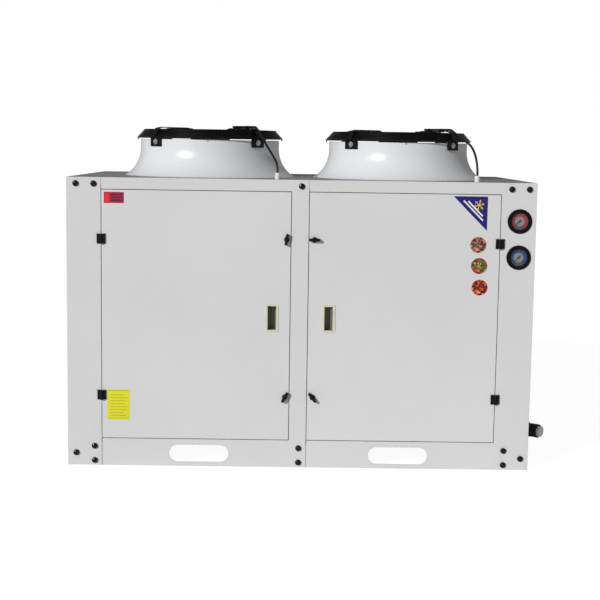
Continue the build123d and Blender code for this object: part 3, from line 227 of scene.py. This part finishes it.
    def _relief(self, tree, shader, place) -> None:
        """Wire the bump."""
        bump = tree.nodes.new("ShaderNodeBump")
        bump.inputs["Distance"].default_value = self.bump
        bump.inputs["Strength"].default_value = 0.5
        if self.grain is Grain.FINNED:
            wave = tree.nodes.new("ShaderNodeTexWave")
            wave.bands_direction = "X"
            wave.inputs["Scale"].default_value = self.scale
            tree.links.new(place.outputs["Vector"], wave.inputs["Vector"])
            value = wave.outputs["Fac"]
        elif self.grain is Grain.BRUSHED:
            stretch = tree.nodes.new("ShaderNodeMapping")
            stretch.inputs["Scale"].default_value = (0.05, 1.0, 1.0)
            tree.links.new(place.outputs["Vector"], stretch.inputs["Vector"])
            value = self._noise(tree, stretch, self.scale, 4.0)
        else:
            value = self._noise(tree, place, self.scale, 4.0)
        tree.links.new(value, bump.inputs["Height"])
        tree.links.new(bump.outputs["Normal"], shader.inputs["Normal"])


PANEL = Finish("panel powder coat", (0.64, 0.64, 0.645), roughness=0.42, vary=0.025, scale=900)
DOOR = Finish("door powder coat", (0.65, 0.65, 0.655), roughness=0.40, vary=0.025, scale=900)
# Roof sheet: panel grey on the front lip. The top past y = -0.448 is painted darker as shade, since
# the key light grazes it.
ROOF_PAINTED_SHADE = Finish(
    "roof powder coat with painted shade",
    (0.64, 0.64, 0.645),
    roughness=0.45,
    vary=0.03,
    scale=900,
    painted_shade=(0.27, 0.27, 0.28),
    painted_shade_y=-0.4480,
)
STUB_CAP = Finish(
    "stub cap", (0.70, 0.72, 0.71), Grain.MOULDED, roughness=0.28, scale=900, coat=0.2
)
COWL = Finish("cowl gloss white", (0.73, 0.74, 0.76), roughness=0.24, vary=0.02, coat=0.12)
BASE = Finish("base zinc coat", (0.45, 0.46, 0.47), roughness=0.5, metallic=0.4, vary=0.12)
BEARER = Finish("bearer paint", (0.78, 0.79, 0.80), roughness=0.5, vary=0.03)
BLACK = Finish(
    "moulded black", (0.008, 0.008, 0.009), Grain.MOULDED,
    roughness=0.36, scale=1400, vary=0.3, gloss=0.15
)
GUARD = Finish(
    "guard black enamel", (0.004, 0.004, 0.005), roughness=0.35, scale=700, vary=0.3, gloss=0.2
)
MOTOR = Finish(
    "motor enamel", (0.008, 0.008, 0.009), Grain.CAST, roughness=0.5, scale=300, vary=0.3, gloss=0.3
)
BOLT = Finish(
    "bolt black oxide", (0.03, 0.026, 0.03), Grain.CAST, roughness=0.34, metallic=0.6, scale=700
)
ZINC = Finish(
    "zinc plate", (0.62, 0.62, 0.60), Grain.BRUSHED,
    roughness=0.32, metallic=0.85, scale=900, vary=0.1
)
CABLE = Finish(
    "cable sheath", (0.006, 0.006, 0.007), Grain.MOULDED,
    roughness=0.42, scale=1200, vary=0.25, gloss=0.35
)
SLEEVE = Finish(
    "foam rubber sleeve", (0.012, 0.014, 0.028), Grain.FOAM,
    roughness=0.75, scale=700, bump=0.0003, vary=0.3
)
GLAND = Finish("gland nylon", (0.74, 0.74, 0.70), Grain.MOULDED, roughness=0.35, scale=900)
# Handle cups: cream plastic, with the recess past y = -0.4492 painted dark olive as shade.
HANDLE_PAINTED_SHADE = Finish(
    "cream nylon with painted recess shade",
    (0.64, 0.62, 0.47),
    Grain.MOULDED,
    roughness=0.38,
    scale=900,
    vary=0.05,
    painted_shade=(0.17, 0.175, 0.13),
    painted_shade_y=-0.4492,
)
BEZEL = Finish(
    "gauge bezel", (0.004, 0.003, 0.004), Grain.MOULDED, roughness=0.2, scale=600, gloss=0.2
)
DIAL = Finish("dial enamel", (0.07, 0.06, 0.07), roughness=0.4, scale=900)
DIAL_GREY = Finish("dial centre grey", (0.20, 0.205, 0.22), roughness=0.35, scale=900, vary=0.08)
RED_RING = Finish("dial red", (0.33, 0.008, 0.006), roughness=0.35, scale=900, vary=0.08)
BLUE_RING = Finish("dial blue", (0.002, 0.035, 0.21), roughness=0.35, scale=900, vary=0.08)
WHITE_INK = Finish("white ink", (0.82, 0.82, 0.82), roughness=0.5, scale=900)
GLASS = Finish("gauge window", (0.9, 0.95, 1.0), Grain.CLEAR, roughness=0.04)
# Fin pack: the dark second colour is painted shade in the gaps between fins.
FINS_WITH_GAP_SHADE = Finish(
    "coil fins with painted gap shade",
    (0.60, 0.61, 0.62),
    Grain.FINNED,
    roughness=0.4,
    metallic=0.7,
    scale=110.0,
    bump=0.0012,
    vary=0.1,
    second=(0.08, 0.08, 0.09),
)
COPPER = Finish(
    "drawn copper", (0.64, 0.27, 0.14), Grain.BRUSHED,
    roughness=0.32, metallic=0.95, scale=500, vary=0.12
)
CASTING = Finish(
    "casting paint", (0.05, 0.12, 0.09), Grain.CAST, roughness=0.45, scale=250, bump=0.0004
)
VESSEL = Finish("vessel enamel", (0.02, 0.02, 0.022), roughness=0.35, scale=500, vary=0.2)
MOUNT = Finish("mount rubber", (0.02, 0.02, 0.02), Grain.FOAM, roughness=0.8, scale=500)
FOAM = Finish(
    "acoustic foam", (0.03, 0.03, 0.032), Grain.FOAM, roughness=0.95, scale=420, bump=0.0012
)
SWITCHBOX = Finish("switch box paint", (0.5, 0.51, 0.5), roughness=0.45, scale=800)
# Blue-black rubber in the door gaps, which also serves as painted shade there.
SEAL_AND_GAP_SHADE = Finish("seal rubber and painted gap shade", (0.010, 0.011, 0.020), Grain.FOAM, roughness=0.7, scale=700, gloss=0.2)
CAP = Finish(
    "bolt cap black", (0.008, 0.006, 0.008), Grain.MOULDED, roughness=0.22, scale=900, gloss=0.3
)
YELLOW = Finish("yellow card", (0.70, 0.69, 0.012), roughness=0.45, scale=900, vary=0.04)
INK = Finish("dark ink", (0.22, 0.21, 0.03), roughness=0.6, scale=900)
NAVY = Finish("navy film", (0.014, 0.008, 0.15), roughness=0.3, scale=900, vary=0.1)
GOLD = Finish("yellow film", (0.85, 0.60, 0.05), roughness=0.35, scale=900)
SCARLET = Finish("crimson film", (0.42, 0.008, 0.045), roughness=0.35, scale=900, vary=0.1)
PLUM = Finish("plum film", (0.10, 0.006, 0.05), roughness=0.35, scale=900, vary=0.1)
BRIGHT_RED = Finish("bright red film", (0.80, 0.02, 0.02), roughness=0.35, scale=900)

NODE_FINISH: dict[str, Finish] = {
    "front_left_post": PANEL,
    "front_frame_left": PANEL,
    "front_frame_right": PANEL,
    "rear_frame": PANEL,
    "left_side_panel": PANEL,
    "right_side_panel": PANEL,
    "top_panel": ROOF_PAINTED_SHADE,
    "left_door": DOOR,
    "right_door": DOOR,
    "left_door_liner": FOAM,
    "right_door_liner": FOAM,
    "left_door_handle": HANDLE_PAINTED_SHADE,
    "right_door_handle": HANDLE_PAINTED_SHADE,
    "left_door_hinge_leaves": BLACK,
    "right_door_hinge_leaves": BLACK,
    "hinge_post_leaves": BLACK,
    "hinge_pins": ZINC,
    "left_upper_latch": BLACK,
    "left_lower_latch": BLACK,
    "right_upper_latch": BLACK,
    "right_lower_latch": BLACK,
    "fan_cowl_left": COWL,
    "fan_cowl_right": COWL,
    "fan_guard_left": GUARD,
    "fan_guard_right": GUARD,
    "fan_motor_left": MOTOR,
    "fan_motor_right": MOTOR,
    "fan_rotor_left": MOTOR,
    "fan_rotor_right": MOTOR,
    "guard_bolts": ZINC,
    "frame_bolts": BOLT,
    "motor_cable_left": CABLE,
    "motor_cable_right": CABLE,
    "cable_glands": GLAND,
    "red_gauge_case": BEZEL,
    "blue_gauge_case": BEZEL,
    "red_gauge_needle": BLACK,
    "blue_gauge_needle": BLACK,
    "gauge_dials": DIAL,
    "gauge_lenses": GLASS,
    "condenser_fin_pack": FINS_WITH_GAP_SHADE,
    "condenser_end_plates": ZINC,
    "condenser_return_bends": COPPER,
    "discharge_pipes": COPPER,
    "liquid_pipes": COPPER,
    "suction_pipe": COPPER,
    "suction_sleeve": SLEEVE,
    "stub_caps": STUB_CAP,
    "stub_grommets": SLEEVE,
    "compressor_body": CASTING,
    "compressor_heads": CASTING,
    "compressor_mounts": MOUNT,
    "liquid_receiver": VESSEL,
    "oil_separator": VESSEL,
    "filter_drier": COPPER,
    "control_box": SWITCHBOX,
    "floor_pan": BASE,
    "base_rails": BASE,
    "left_fork_bearer": BEARER,
    "right_fork_bearer": BEARER,
}


def finished(bm: bmesh.types.BMesh, name: str, finishes: list[Finish], body: str):
    """Turn a bmesh into a piece that rides on a body.

    Args:
        bm: The shape, in the part's frame; it is freed.
        name: Name of the piece.
        finishes: One finish per material index.
        body: The body that carries it.

    Returns:
        The new object.
    """
    bmesh.ops.recalc_face_normals(bm, faces=bm.faces)
    mesh = bpy.data.meshes.new(name)
    bm.to_mesh(mesh)
    bm.free()
    piece = bpy.data.objects.new(name, mesh)
    bpy.context.scene.collection.objects.link(piece)
    for finish in finishes:
        mesh.materials.append(finish.material())
    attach(piece, body)
    LOG.info("%s rides on %s", name, body)
    return piece


def facing(x: float, y: float, z: float, turn: float = 0.0) -> Matrix:
    """Return the transform that lays a flat XY shape on the front at a point."""
    return Matrix.Translation((x, y, z)) @ Matrix.Rotation(-turn, 4, "Y") @ Matrix.Rotation(
        math.radians(90.0), 4, "X"
    )


def thicken(bm: bmesh.types.BMesh, faces: list, depth: float, index: int) -> None:
    """Give flat faces a thickness along their own +Z and a material."""
    for face in faces:
        face.material_index = index
    made = bmesh.ops.extrude_face_region(bm, geom=faces)
    verts = [item for item in made["geom"] if isinstance(item, bmesh.types.BMVert)]
    bmesh.ops.translate(bm, verts=verts, vec=(0.0, 0.0, depth))


def merge(bm: bmesh.types.BMesh, part: bmesh.types.BMesh) -> None:
    """Add a part to a bmesh and free the part."""
    scratch = bpy.data.meshes.new("scratch")
    part.to_mesh(scratch)
    part.free()
    bm.from_mesh(scratch)
    bpy.data.meshes.remove(scratch)


def layer(
    bm: bmesh.types.BMesh,
    corners: list[tuple[float, float]],
    depth: float,
    index: int,
    place: Matrix,
    lift: float = 0.0,
    corner: float = 0.0,
) -> None:
    """Add one thin flat layer with a given outline.

    Args:
        bm: The bmesh to add to.
        corners: Outline, in the layer's own plane.
        depth: Thickness.
        index: Material index.
        place: Transform that lays the plane on the object.
        lift: How far the layer starts from the plane.
        corner: Corner rounding.
    """
    part = bmesh.new()
    verts = [part.verts.new((x, y, lift)) for x, y in corners]
    part.faces.new(verts)
    if corner > 0.0:
        bmesh.ops.bevel(
            part, geom=list(part.verts), offset=corner, segments=4, profile=0.5,
            affect="VERTICES", material=-1
        )
    thicken(part, part.faces[:], depth, index)
    bmesh.ops.transform(part, matrix=place, verts=part.verts)
    merge(bm, part)


def disc(count: int, radius: float, start: float = 0.0) -> list[tuple[float, float]]:
    """Return the corners of a regular polygon."""
    step = 2.0 * math.pi / count
    return [
        (radius * math.cos(start + step * i), radius * math.sin(start + step * i))
        for i in range(count)
    ]


def bar(x0: float, x1: float, y0: float, y1: float) -> list[tuple[float, float]]:
    """Return a rectangle's corners."""
    return [(x0, y0), (x1, y0), (x1, y1), (x0, y1)]


@dataclass
class Labels:
    """The printed films and cards on the doors."""

    front: float = -0.4500
    film: float = 0.0003
    print_film: float = 0.00012
    round_r: float = 0.028
    round_spots: tuple[tuple[float, float], ...] = ((0.612, 0.795), (0.617, 0.722), (0.621, 0.647))
    triangle: tuple[tuple[float, float], ...] = ((0.522, 0.962), (0.6405, 0.962), (0.640, 0.844))
    flag: tuple[float, float, float, float] = (-0.680, -0.611, 0.922, 0.960)
    stripe_shares: tuple[float, ...] = (0.18, 0.44, 0.70)
    stripe_start: float = 0.34
    stripe_h: float = 0.0055
    block_end: float = 0.26
    block_margin: tuple[float, float] = (0.003, 0.004)
    card: tuple[float, float, float, float] = (-0.671, -0.592, 0.164, 0.272)
    card_rows: int = 8
    card_first: float = 0.014
    card_pitch: float = 0.0105
    card_line: float = 0.0011
    card_margin: float = 0.010
    card_short: float = 0.012
    card_border: tuple[float, float, float] = (0.004, 0.0045, 0.0055)
    corner_bars: tuple[tuple[float, float], ...] = ((0.012, 0.048), (0.022, 0.036))
    corner_bar_h: float = 0.005
    crystal_in: float = 0.030
    crystal_turn: float = 15.0
    crystal_arm: tuple[float, float] = (0.019, 0.0026)
    twig_from: float = 0.011
    twig: tuple[float, float] = (0.005, 0.0018)
    twig_turn: float = 1.05

    def build(self) -> None:
        """Build every label."""
        self._flag()
        self._card()
        self._triangle()
        self._rounds()

    def _flag(self) -> None:
        """Two-tone film at the top of the left door."""
        x0, x1, z0, z1 = self.flag
        bm = bmesh.new()
        flat = facing(0.0, self.front, 0.0)
        layer(bm, bar(x0, x1, z0, z1), self.film, 0, flat, corner=0.002)
        wide = x1 - x0
        side, edge = self.block_margin
        lift = self.film
        for share in self.stripe_shares:
            low = z0 + (z1 - z0) * share
            layer(
                bm,
                bar(x0 + wide * self.stripe_start, x1 - side, low, low + self.stripe_h),
                self.print_film,
                1,
                flat,
                lift,
            )
        layer(
            bm,
            bar(x0 + side, x0 + wide * self.block_end, z0 + edge, z1 - edge),
            self.print_film,
            2,
            flat,
            lift,
        )
        finished(bm, "door_colour_film", [SCARLET, PLUM, BRIGHT_RED], "left_door")

    def _card(self) -> None:
        """Blank ruled card low on the left door."""
        x0, x1, z0, z1 = self.card
        bm = bmesh.new()
        flat = facing(0.0, self.front, 0.0)
        layer(bm, bar(x0, x1, z0, z1), self.film, 0, flat, corner=0.0015)
        for step in range(self.card_rows):
            z = z0 + self.card_first + step * self.card_pitch
            right = x1 - self.card_margin - (self.card_short if step % 3 == 1 else 0.0)
            layer(
                bm,
                bar(x0 + self.card_margin, right, z, z + self.card_line),
                self.print_film,
                1,
                flat,
                self.film,
            )
        side, near, far = self.card_border
        for edge in (
            bar(x0 + side, x1 - side, z1 - far, z1 - near),
            bar(x0 + side, x1 - side, z0 + near, z0 + far),
        ):
            layer(bm, edge, self.print_film, 1, flat, self.film)
        finished(bm, "door_yellow_card", [YELLOW, INK], "left_door")

    def _triangle(self) -> None:
        """Navy corner film with pale bars and a snow crystal."""
        bm = bmesh.new()
        flat = facing(0.0, self.front, 0.0)
        layer(bm, list(self.triangle)[::-1], self.film, 0, flat, corner=0.0015)
        top_left, top_right, low_right = (Vector(point) for point in self.triangle)
        edge = (low_right - top_left).normalized()
        inward = Vector((-edge.y, edge.x))
        middle = (top_left + low_right) / 2
        for offset, half in self.corner_bars:
            mid = middle + inward * offset
            corners = [
                mid - edge * half,
                mid + edge * half,
                mid + edge * half + inward * self.corner_bar_h,
                mid - edge * half + inward * self.corner_bar_h,
            ]
            layer(bm, [tuple(c) for c in corners], self.print_film, 1, flat, self.film)
        hub = top_right - Vector((self.crystal_in, self.crystal_in))
        for arm in range(3):
            angle = math.radians(self.crystal_turn + 60 * arm)
            self._ray(bm, flat, hub, angle, *self.crystal_arm)
            for way in (0.0, math.pi):
                tip = hub + Vector((math.cos(angle + way), math.sin(angle + way))) * self.twig_from
                for side in (-1, 1):
                    self._ray(
                        bm, flat, tip, angle + way + side * self.twig_turn, *self.twig, both=False
                    )
        finished(bm, "door_navy_film", [NAVY, WHITE_INK, GOLD], "right_door")

    def _ray(self, bm, flat, origin, angle, length, width, both: bool = True) -> None:
        """Add one thin bar of the snow crystal."""
        along = Vector((math.cos(angle), math.sin(angle)))
        side = Vector((-along.y, along.x)) * width / 2
        start = origin - along * length if both else origin
        end = origin + along * length
        corners = [start - side, end - side, end + side, start + side]
        layer(bm, [tuple(c) for c in corners], self.print_film, 2, flat, self.film)

    def _rounds(self) -> None:
        """Three round mosaic films."""
        tones = (
            ((0.10, 0.05, 0.04), (0.46, 0.17, 0.08), (0.22, 0.16, 0.13)),
            ((0.03, 0.17, 0.015), (0.42, 0.02, 0.012), (0.52, 0.40, 0.16)),
            ((0.12, 0.010, 0.006), (0.55, 0.11, 0.02), (0.30, 0.015, 0.010)),
        )
        for index, ((x, z), (one, two, three)) in enumerate(zip(self.round_spots, tones), 1):
            finish = Finish(
                f"round film {index}",
                one,
                Grain.FOOD,
                roughness=0.3,
                scale=160,
                second=two,
                third=three,
                centre=(x, self.front, z),
            )
            rim = Finish(f"round film rim {index}", two, roughness=0.35)
            bm = bmesh.new()
            flat = facing(x, self.front, z)
            layer(bm, disc(48, self.round_r), self.film, 1, flat)
            layer(bm, disc(48, self.round_r * 0.93), self.print_film, 0, flat, self.film)
            finished(bm, f"door_round_film_{index}", [finish, rim], "right_door")


@dataclass
class GaugeFace:
    """Printed scale on a gauge's dial."""

    name: str
    z: float
    ring: Finish
    x: float = 0.7526
    dial_y: float = -0.4490
    outer: float = 0.0285
    inner: float = 0.0180
    centre_r: float = 0.0168
    start: float = math.radians(228.0)
    sweep: float = math.radians(-276.0)
    ticks: int = 14
    tick_half: float = 0.00025
    tick_span: tuple[float, float] = (0.001, 0.004)

    def build(self) -> None:
        """Build the coloured scale, its ticks and the grey centre."""
        bm = bmesh.new()
        place = facing(self.x, self.dial_y, self.z)
        self._sector(bm, place)
        layer(bm, disc(48, self.centre_r), 0.0002, 1, place)
        for step in range(self.ticks):
            angle = self.start + self.sweep * step / (self.ticks - 1)
            along = Vector((math.cos(angle), math.sin(angle)))
            side = Vector((-along.y, along.x)) * self.tick_half
            inner, outer = (self.inner + reach for reach in self.tick_span)
            corners = [
                along * inner - side,
                along * outer - side,
                along * outer + side,
                along * inner + side,
            ]
            layer(bm, [tuple(c) for c in corners], 0.0001, 2, place, 0.0003)
        finished(bm, self.name, [self.ring, DIAL_GREY, DIAL], "cabinet")

    def _sector(self, bm: bmesh.types.BMesh, place: Matrix) -> None:
        """Spin the coloured arc."""
        part = bmesh.new()
        a = Vector((math.cos(self.start), math.sin(self.start), 0.0))
        ends = [part.verts.new(a * self.inner), part.verts.new(a * self.outer)]
        edge = part.edges.new(ends)
        bmesh.ops.spin(
            part, geom=[*ends, edge], cent=(0, 0, 0), axis=(0, 0, 1), angle=self.sweep, steps=48
        )
        thicken(part, part.faces[:], 0.0003, 0)
        bmesh.ops.transform(part, matrix=place, verts=part.verts)
        merge(bm, part)


@dataclass
class CableTies:
    """Ties that hold a motor lead to a guard strap."""

    name: str
    fan_x: float
    spots: tuple[float, ...] = (0.150, 0.205)
    lead_z: float = 1.1913
    lead_r: float = 0.0040
    strap_w: float = 0.023
    strap_t: float = 0.0046
    wrap: float = 0.0014
    over: float = 0.0004
    crown: float = 0.0052
    shoulder: float = 0.0042
    width: float = 0.0026

    def build(self) -> None:
        """Build the ties round lead and strap."""
        bm = bmesh.new()
        for spot in self.spots:
            part = bmesh.new()
            wide = self.strap_w / 2 + self.wrap
            top, low = self.lead_r + self.over, -self.lead_r - self.strap_t
            loop = [
                (-self.crown, top),
                (self.crown, top),
                (wide, low + self.shoulder),
                (wide, low),
                (-wide, low),
                (-wide, low + self.shoulder),
            ]
            verts = [part.verts.new((0.0, y, z)) for y, z in loop]
            made = bmesh.ops.extrude_face_region(part, geom=[part.faces.new(verts)])
            moved = [item for item in made["geom"] if isinstance(item, bmesh.types.BMVert)]
            bmesh.ops.translate(part, verts=moved, vec=(self.width, 0.0, 0.0))
            turn = Matrix.Rotation(math.radians(-45.0), 4, "Z")
            spot_at = Matrix.Translation((self.fan_x, 0.0, self.lead_z)) @ turn
            bmesh.ops.transform(
                part, matrix=spot_at @ Matrix.Translation((spot, 0, 0)), verts=part.verts
            )
            merge(bm, part)
        finished(bm, self.name, [CABLE], "cabinet")


def extents(piece: bpy.types.Object) -> tuple[Vector, Vector]:
    """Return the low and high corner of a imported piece."""
    spots = [piece.matrix_world @ vert.co for vert in piece.data.vertices]
    low = Vector(min(spot[axis] for spot in spots) for axis in range(3))
    high = Vector(max(spot[axis] for spot in spots) for axis in range(3))
    return low, high


@dataclass
class DoorSealsAndGapShade:
    """Black rubber in the gaps round the doors, also standing in as painted shade in those gaps."""

    nodes: dict = field(default_factory=dict)
    clear: float = 0.0004
    width: float = 0.0016
    front: float = -0.4480
    depth: float = 0.010

    def build(self) -> None:
        """Build a rubber frame round each door skin, darkening the gaps as painted shade."""
        bm = bmesh.new()
        flat = facing(0.0, self.front + self.depth, 0.0)
        for door in ("left_door", "right_door"):
            low, high = extents(self.nodes[door])
            x0, x1 = low.x - self.clear, high.x + self.clear
            z0, z1 = low.z - self.clear, high.z + self.clear
            w = self.width
            for strip in (
                bar(x0 - w, x0, z0 - w, z1 + w),
                bar(x1, x1 + w, z0 - w, z1 + w),
                bar(x0, x1, z0 - w, z0),
                bar(x0, x1, z1, z1 + w),
            ):
                layer(bm, strip, self.depth, 0, flat)
        finished(bm, "door_gap_seals_and_shade", [SEAL_AND_GAP_SHADE], "cabinet")


@dataclass
class BoltCaps:
    """Domed black caps over the frame bolts."""

    bolts: bpy.types.Object | None = None
    radius: float = 0.0105
    rise: float = 0.0085
    front: float = -0.4500
    apart: float = 0.020
    neck: float = 0.35
    steps: int = 6
    turns: int = 24

    def build(self) -> None:
        """Spin one dome over every bolt head on the front."""
        bm = bmesh.new()
        for x, z in self._spots():
            part = bmesh.new()
            rim = [(self.radius, 0.0), (self.radius, self.rise * self.neck)]
            for step in range(1, self.steps):
                angle = math.pi / 2 * step / self.steps
                share = self.neck + (1.0 - self.neck) * math.sin(angle)
                rim.append((self.radius * math.cos(angle), self.rise * share))
            rim.append((0.0, self.rise))
            verts = [part.verts.new((r, 0.0, h)) for r, h in rim]
            edges = [part.edges.new(pair) for pair in zip(verts, verts[1:])]
            bmesh.ops.spin(
                part,
                geom=[*verts, *edges],
                cent=(0, 0, 0),
                axis=(0, 0, 1),
                angle=2 * math.pi,
                steps=self.turns,
                use_merge=True,
            )
            bmesh.ops.remove_doubles(part, verts=part.verts, dist=0.00001)
            bmesh.ops.holes_fill(part, edges=part.edges, sides=0)
            bmesh.ops.transform(part, matrix=facing(x, self.front, z), verts=part.verts)
            merge(bm, part)
        finished(bm, "frame_bolt_caps", [CAP], "cabinet")

    def _spots(self) -> list[tuple[float, float]]:
        """Return the middle of every head on the front."""
        groups: list[list[Vector]] = []
        for vert in self.bolts.data.vertices:
            spot = self.bolts.matrix_world @ vert.co
            if spot.y > self.front + 0.0001:
                continue
            for group in groups:
                if math.hypot(spot.x - group[0].x, spot.z - group[0].z) < self.apart:
                    group.append(spot)
                    break
            else:
                groups.append([spot])
        return [
            (
                (min(v.x for v in group) + max(v.x for v in group)) / 2,
                (min(v.z for v in group) + max(v.z for v in group)) / 2,
            )
            for group in groups
        ]


@dataclass
class Cabinet:
    """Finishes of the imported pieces."""

    nodes: dict = field(default_factory=dict)

    def build(self) -> None:
        """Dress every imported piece."""
        for name, piece in self.nodes.items():
            finish = NODE_FINISH[name]
            for slot in piece.material_slots:
                slot.material = finish.material()
            LOG.info("%s wears %s", name, finish.name)


@dataclass
class Studio:
    """Floor, light and camera."""

    lens: float = 75.4
    pitch: float = 0.1227
    yaw: float = -0.0077
    roll: float = 0.0146
    eye: tuple[float, float, float] = (-0.03465, -4.77895, 1.12888)
    key: float = 2.8
    fill: float = 0.22
    sun_width: float = math.radians(1.5)
    floor_tone: float = 0.80
    shown_tone: float = 0.15
    glow: float = 0.95

    def build(self) -> None:
        """Set the stage."""
        self._camera()
        self._floor()
        self._world()
        self._lamps()
        bpy.context.scene.view_settings.view_transform = "Standard"

    def _camera(self) -> None:
        """Create the camera."""
        forward = Vector(
            (
                -math.sin(self.yaw) * math.cos(self.pitch),
                math.cos(self.yaw) * math.cos(self.pitch),
                -math.sin(self.pitch),
            )
        )
        right = Vector((math.cos(self.yaw), math.sin(self.yaw), 0.0))
        up = right.cross(forward)
        turned_right = right * math.cos(self.roll) - up * -math.sin(self.roll)
        turned_up = up * math.cos(self.roll) + right * -math.sin(self.roll)
        rows = Matrix((turned_right, turned_up, -forward)).transposed().to_4x4()
        data = bpy.data.cameras.new("camera")
        data.lens = self.lens
        data.sensor_width = 36.0
        data.clip_end = 100.0
        camera = bpy.data.objects.new("camera", data)
        camera.matrix_world = Matrix.Translation(self.eye) @ rows
        bpy.context.scene.collection.objects.link(camera)
        bpy.context.scene.camera = camera

    def _floor(self) -> None:
        """Create the pale floor."""
        bm = bmesh.new()
        bmesh.ops.create_grid(bm, x_segments=8, y_segments=8, size=60.0)
        mesh = bpy.data.meshes.new("floor")
        bm.to_mesh(mesh)
        bm.free()
        floor = bpy.data.objects.new("floor", mesh)
        bpy.context.scene.collection.objects.link(floor)
        mat = bpy.data.materials.new("floor paint")
        mat.use_nodes = True
        tree = mat.node_tree
        tree.nodes.clear()
        out = tree.nodes.new("ShaderNodeOutputMaterial")
        matt = tree.nodes.new("ShaderNodeBsdfDiffuse")
        matt.inputs["Color"].default_value = (*[self.floor_tone] * 3, 1.0)
        shown = tree.nodes.new("ShaderNodeBsdfDiffuse")
        shown.inputs["Color"].default_value = (*[self.shown_tone] * 3, 1.0)
        glow = tree.nodes.new("ShaderNodeEmission")
        glow.inputs["Color"].default_value = (*[self.glow] * 3, 1.0)
        glow.inputs["Strength"].default_value = 1.0
        add = tree.nodes.new("ShaderNodeAddShader")
        path = tree.nodes.new("ShaderNodeLightPath")
        mix = tree.nodes.new("ShaderNodeMixShader")
        tree.links.new(shown.outputs["BSDF"], add.inputs[0])
        tree.links.new(glow.outputs["Emission"], add.inputs[1])
        tree.links.new(path.outputs["Is Camera Ray"], mix.inputs["Fac"])
        tree.links.new(matt.outputs["BSDF"], mix.inputs[1])
        tree.links.new(add.outputs["Shader"], mix.inputs[2])
        tree.links.new(mix.outputs["Shader"], out.inputs["Surface"])
        mesh.materials.append(mat)

    def _world(self) -> None:
        """Create the white surround."""
        world = bpy.data.worlds.new("studio")
        world.use_nodes = True
        bpy.context.scene.world = world
        tree = world.node_tree
        ground = tree.nodes["Background"]
        ground.inputs["Color"].default_value = (1.0, 1.0, 1.0, 1.0)
        path = tree.nodes.new("ShaderNodeLightPath")
        seen = tree.nodes.new("ShaderNodeMath")
        seen.operation = "MAXIMUM"
        span = tree.nodes.new("ShaderNodeMapRange")
        span.inputs["To Min"].default_value = self.fill
        span.inputs["To Max"].default_value = 1.0
        tree.links.new(path.outputs["Is Camera Ray"], seen.inputs[0])
        tree.links.new(path.outputs["Is Transmission Ray"], seen.inputs[1])
        tree.links.new(seen.outputs["Value"], span.inputs["Value"])
        tree.links.new(span.outputs["Result"], ground.inputs["Strength"])

    def _lamps(self) -> None:
        """Create the key lamp from the upper left."""
        data = bpy.data.lights.new("key", "SUN")
        data.energy = self.key
        data.angle = self.sun_width
        lamp = bpy.data.objects.new("key", data)
        lamp.rotation_mode = "QUATERNION"
        lamp.rotation_quaternion = Vector((0.8, 1.0, -0.5)).to_track_quat("-Z", "Y")
        bpy.context.scene.collection.objects.link(lamp)


def main() -> None:
    """Build the dressed unit."""
    logging.basicConfig(level=logging.INFO, format="%(message)s")
    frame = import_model()
    Studio().build()
    Cabinet(frame["nodes"]).build()
    DoorSealsAndGapShade(frame["nodes"]).build()
    BoltCaps(frame["nodes"]["frame_bolts"]).build()
    Labels().build()
    GaugeFace("red_gauge_scale", 0.878, RED_RING).build()
    GaugeFace("blue_gauge_scale", 0.753, BLUE_RING).build()
    CableTies("cable_ties_left", -0.345).build()
    CableTies("cable_ties_right", 0.363).build()


if __name__ == "__main__":
    main()
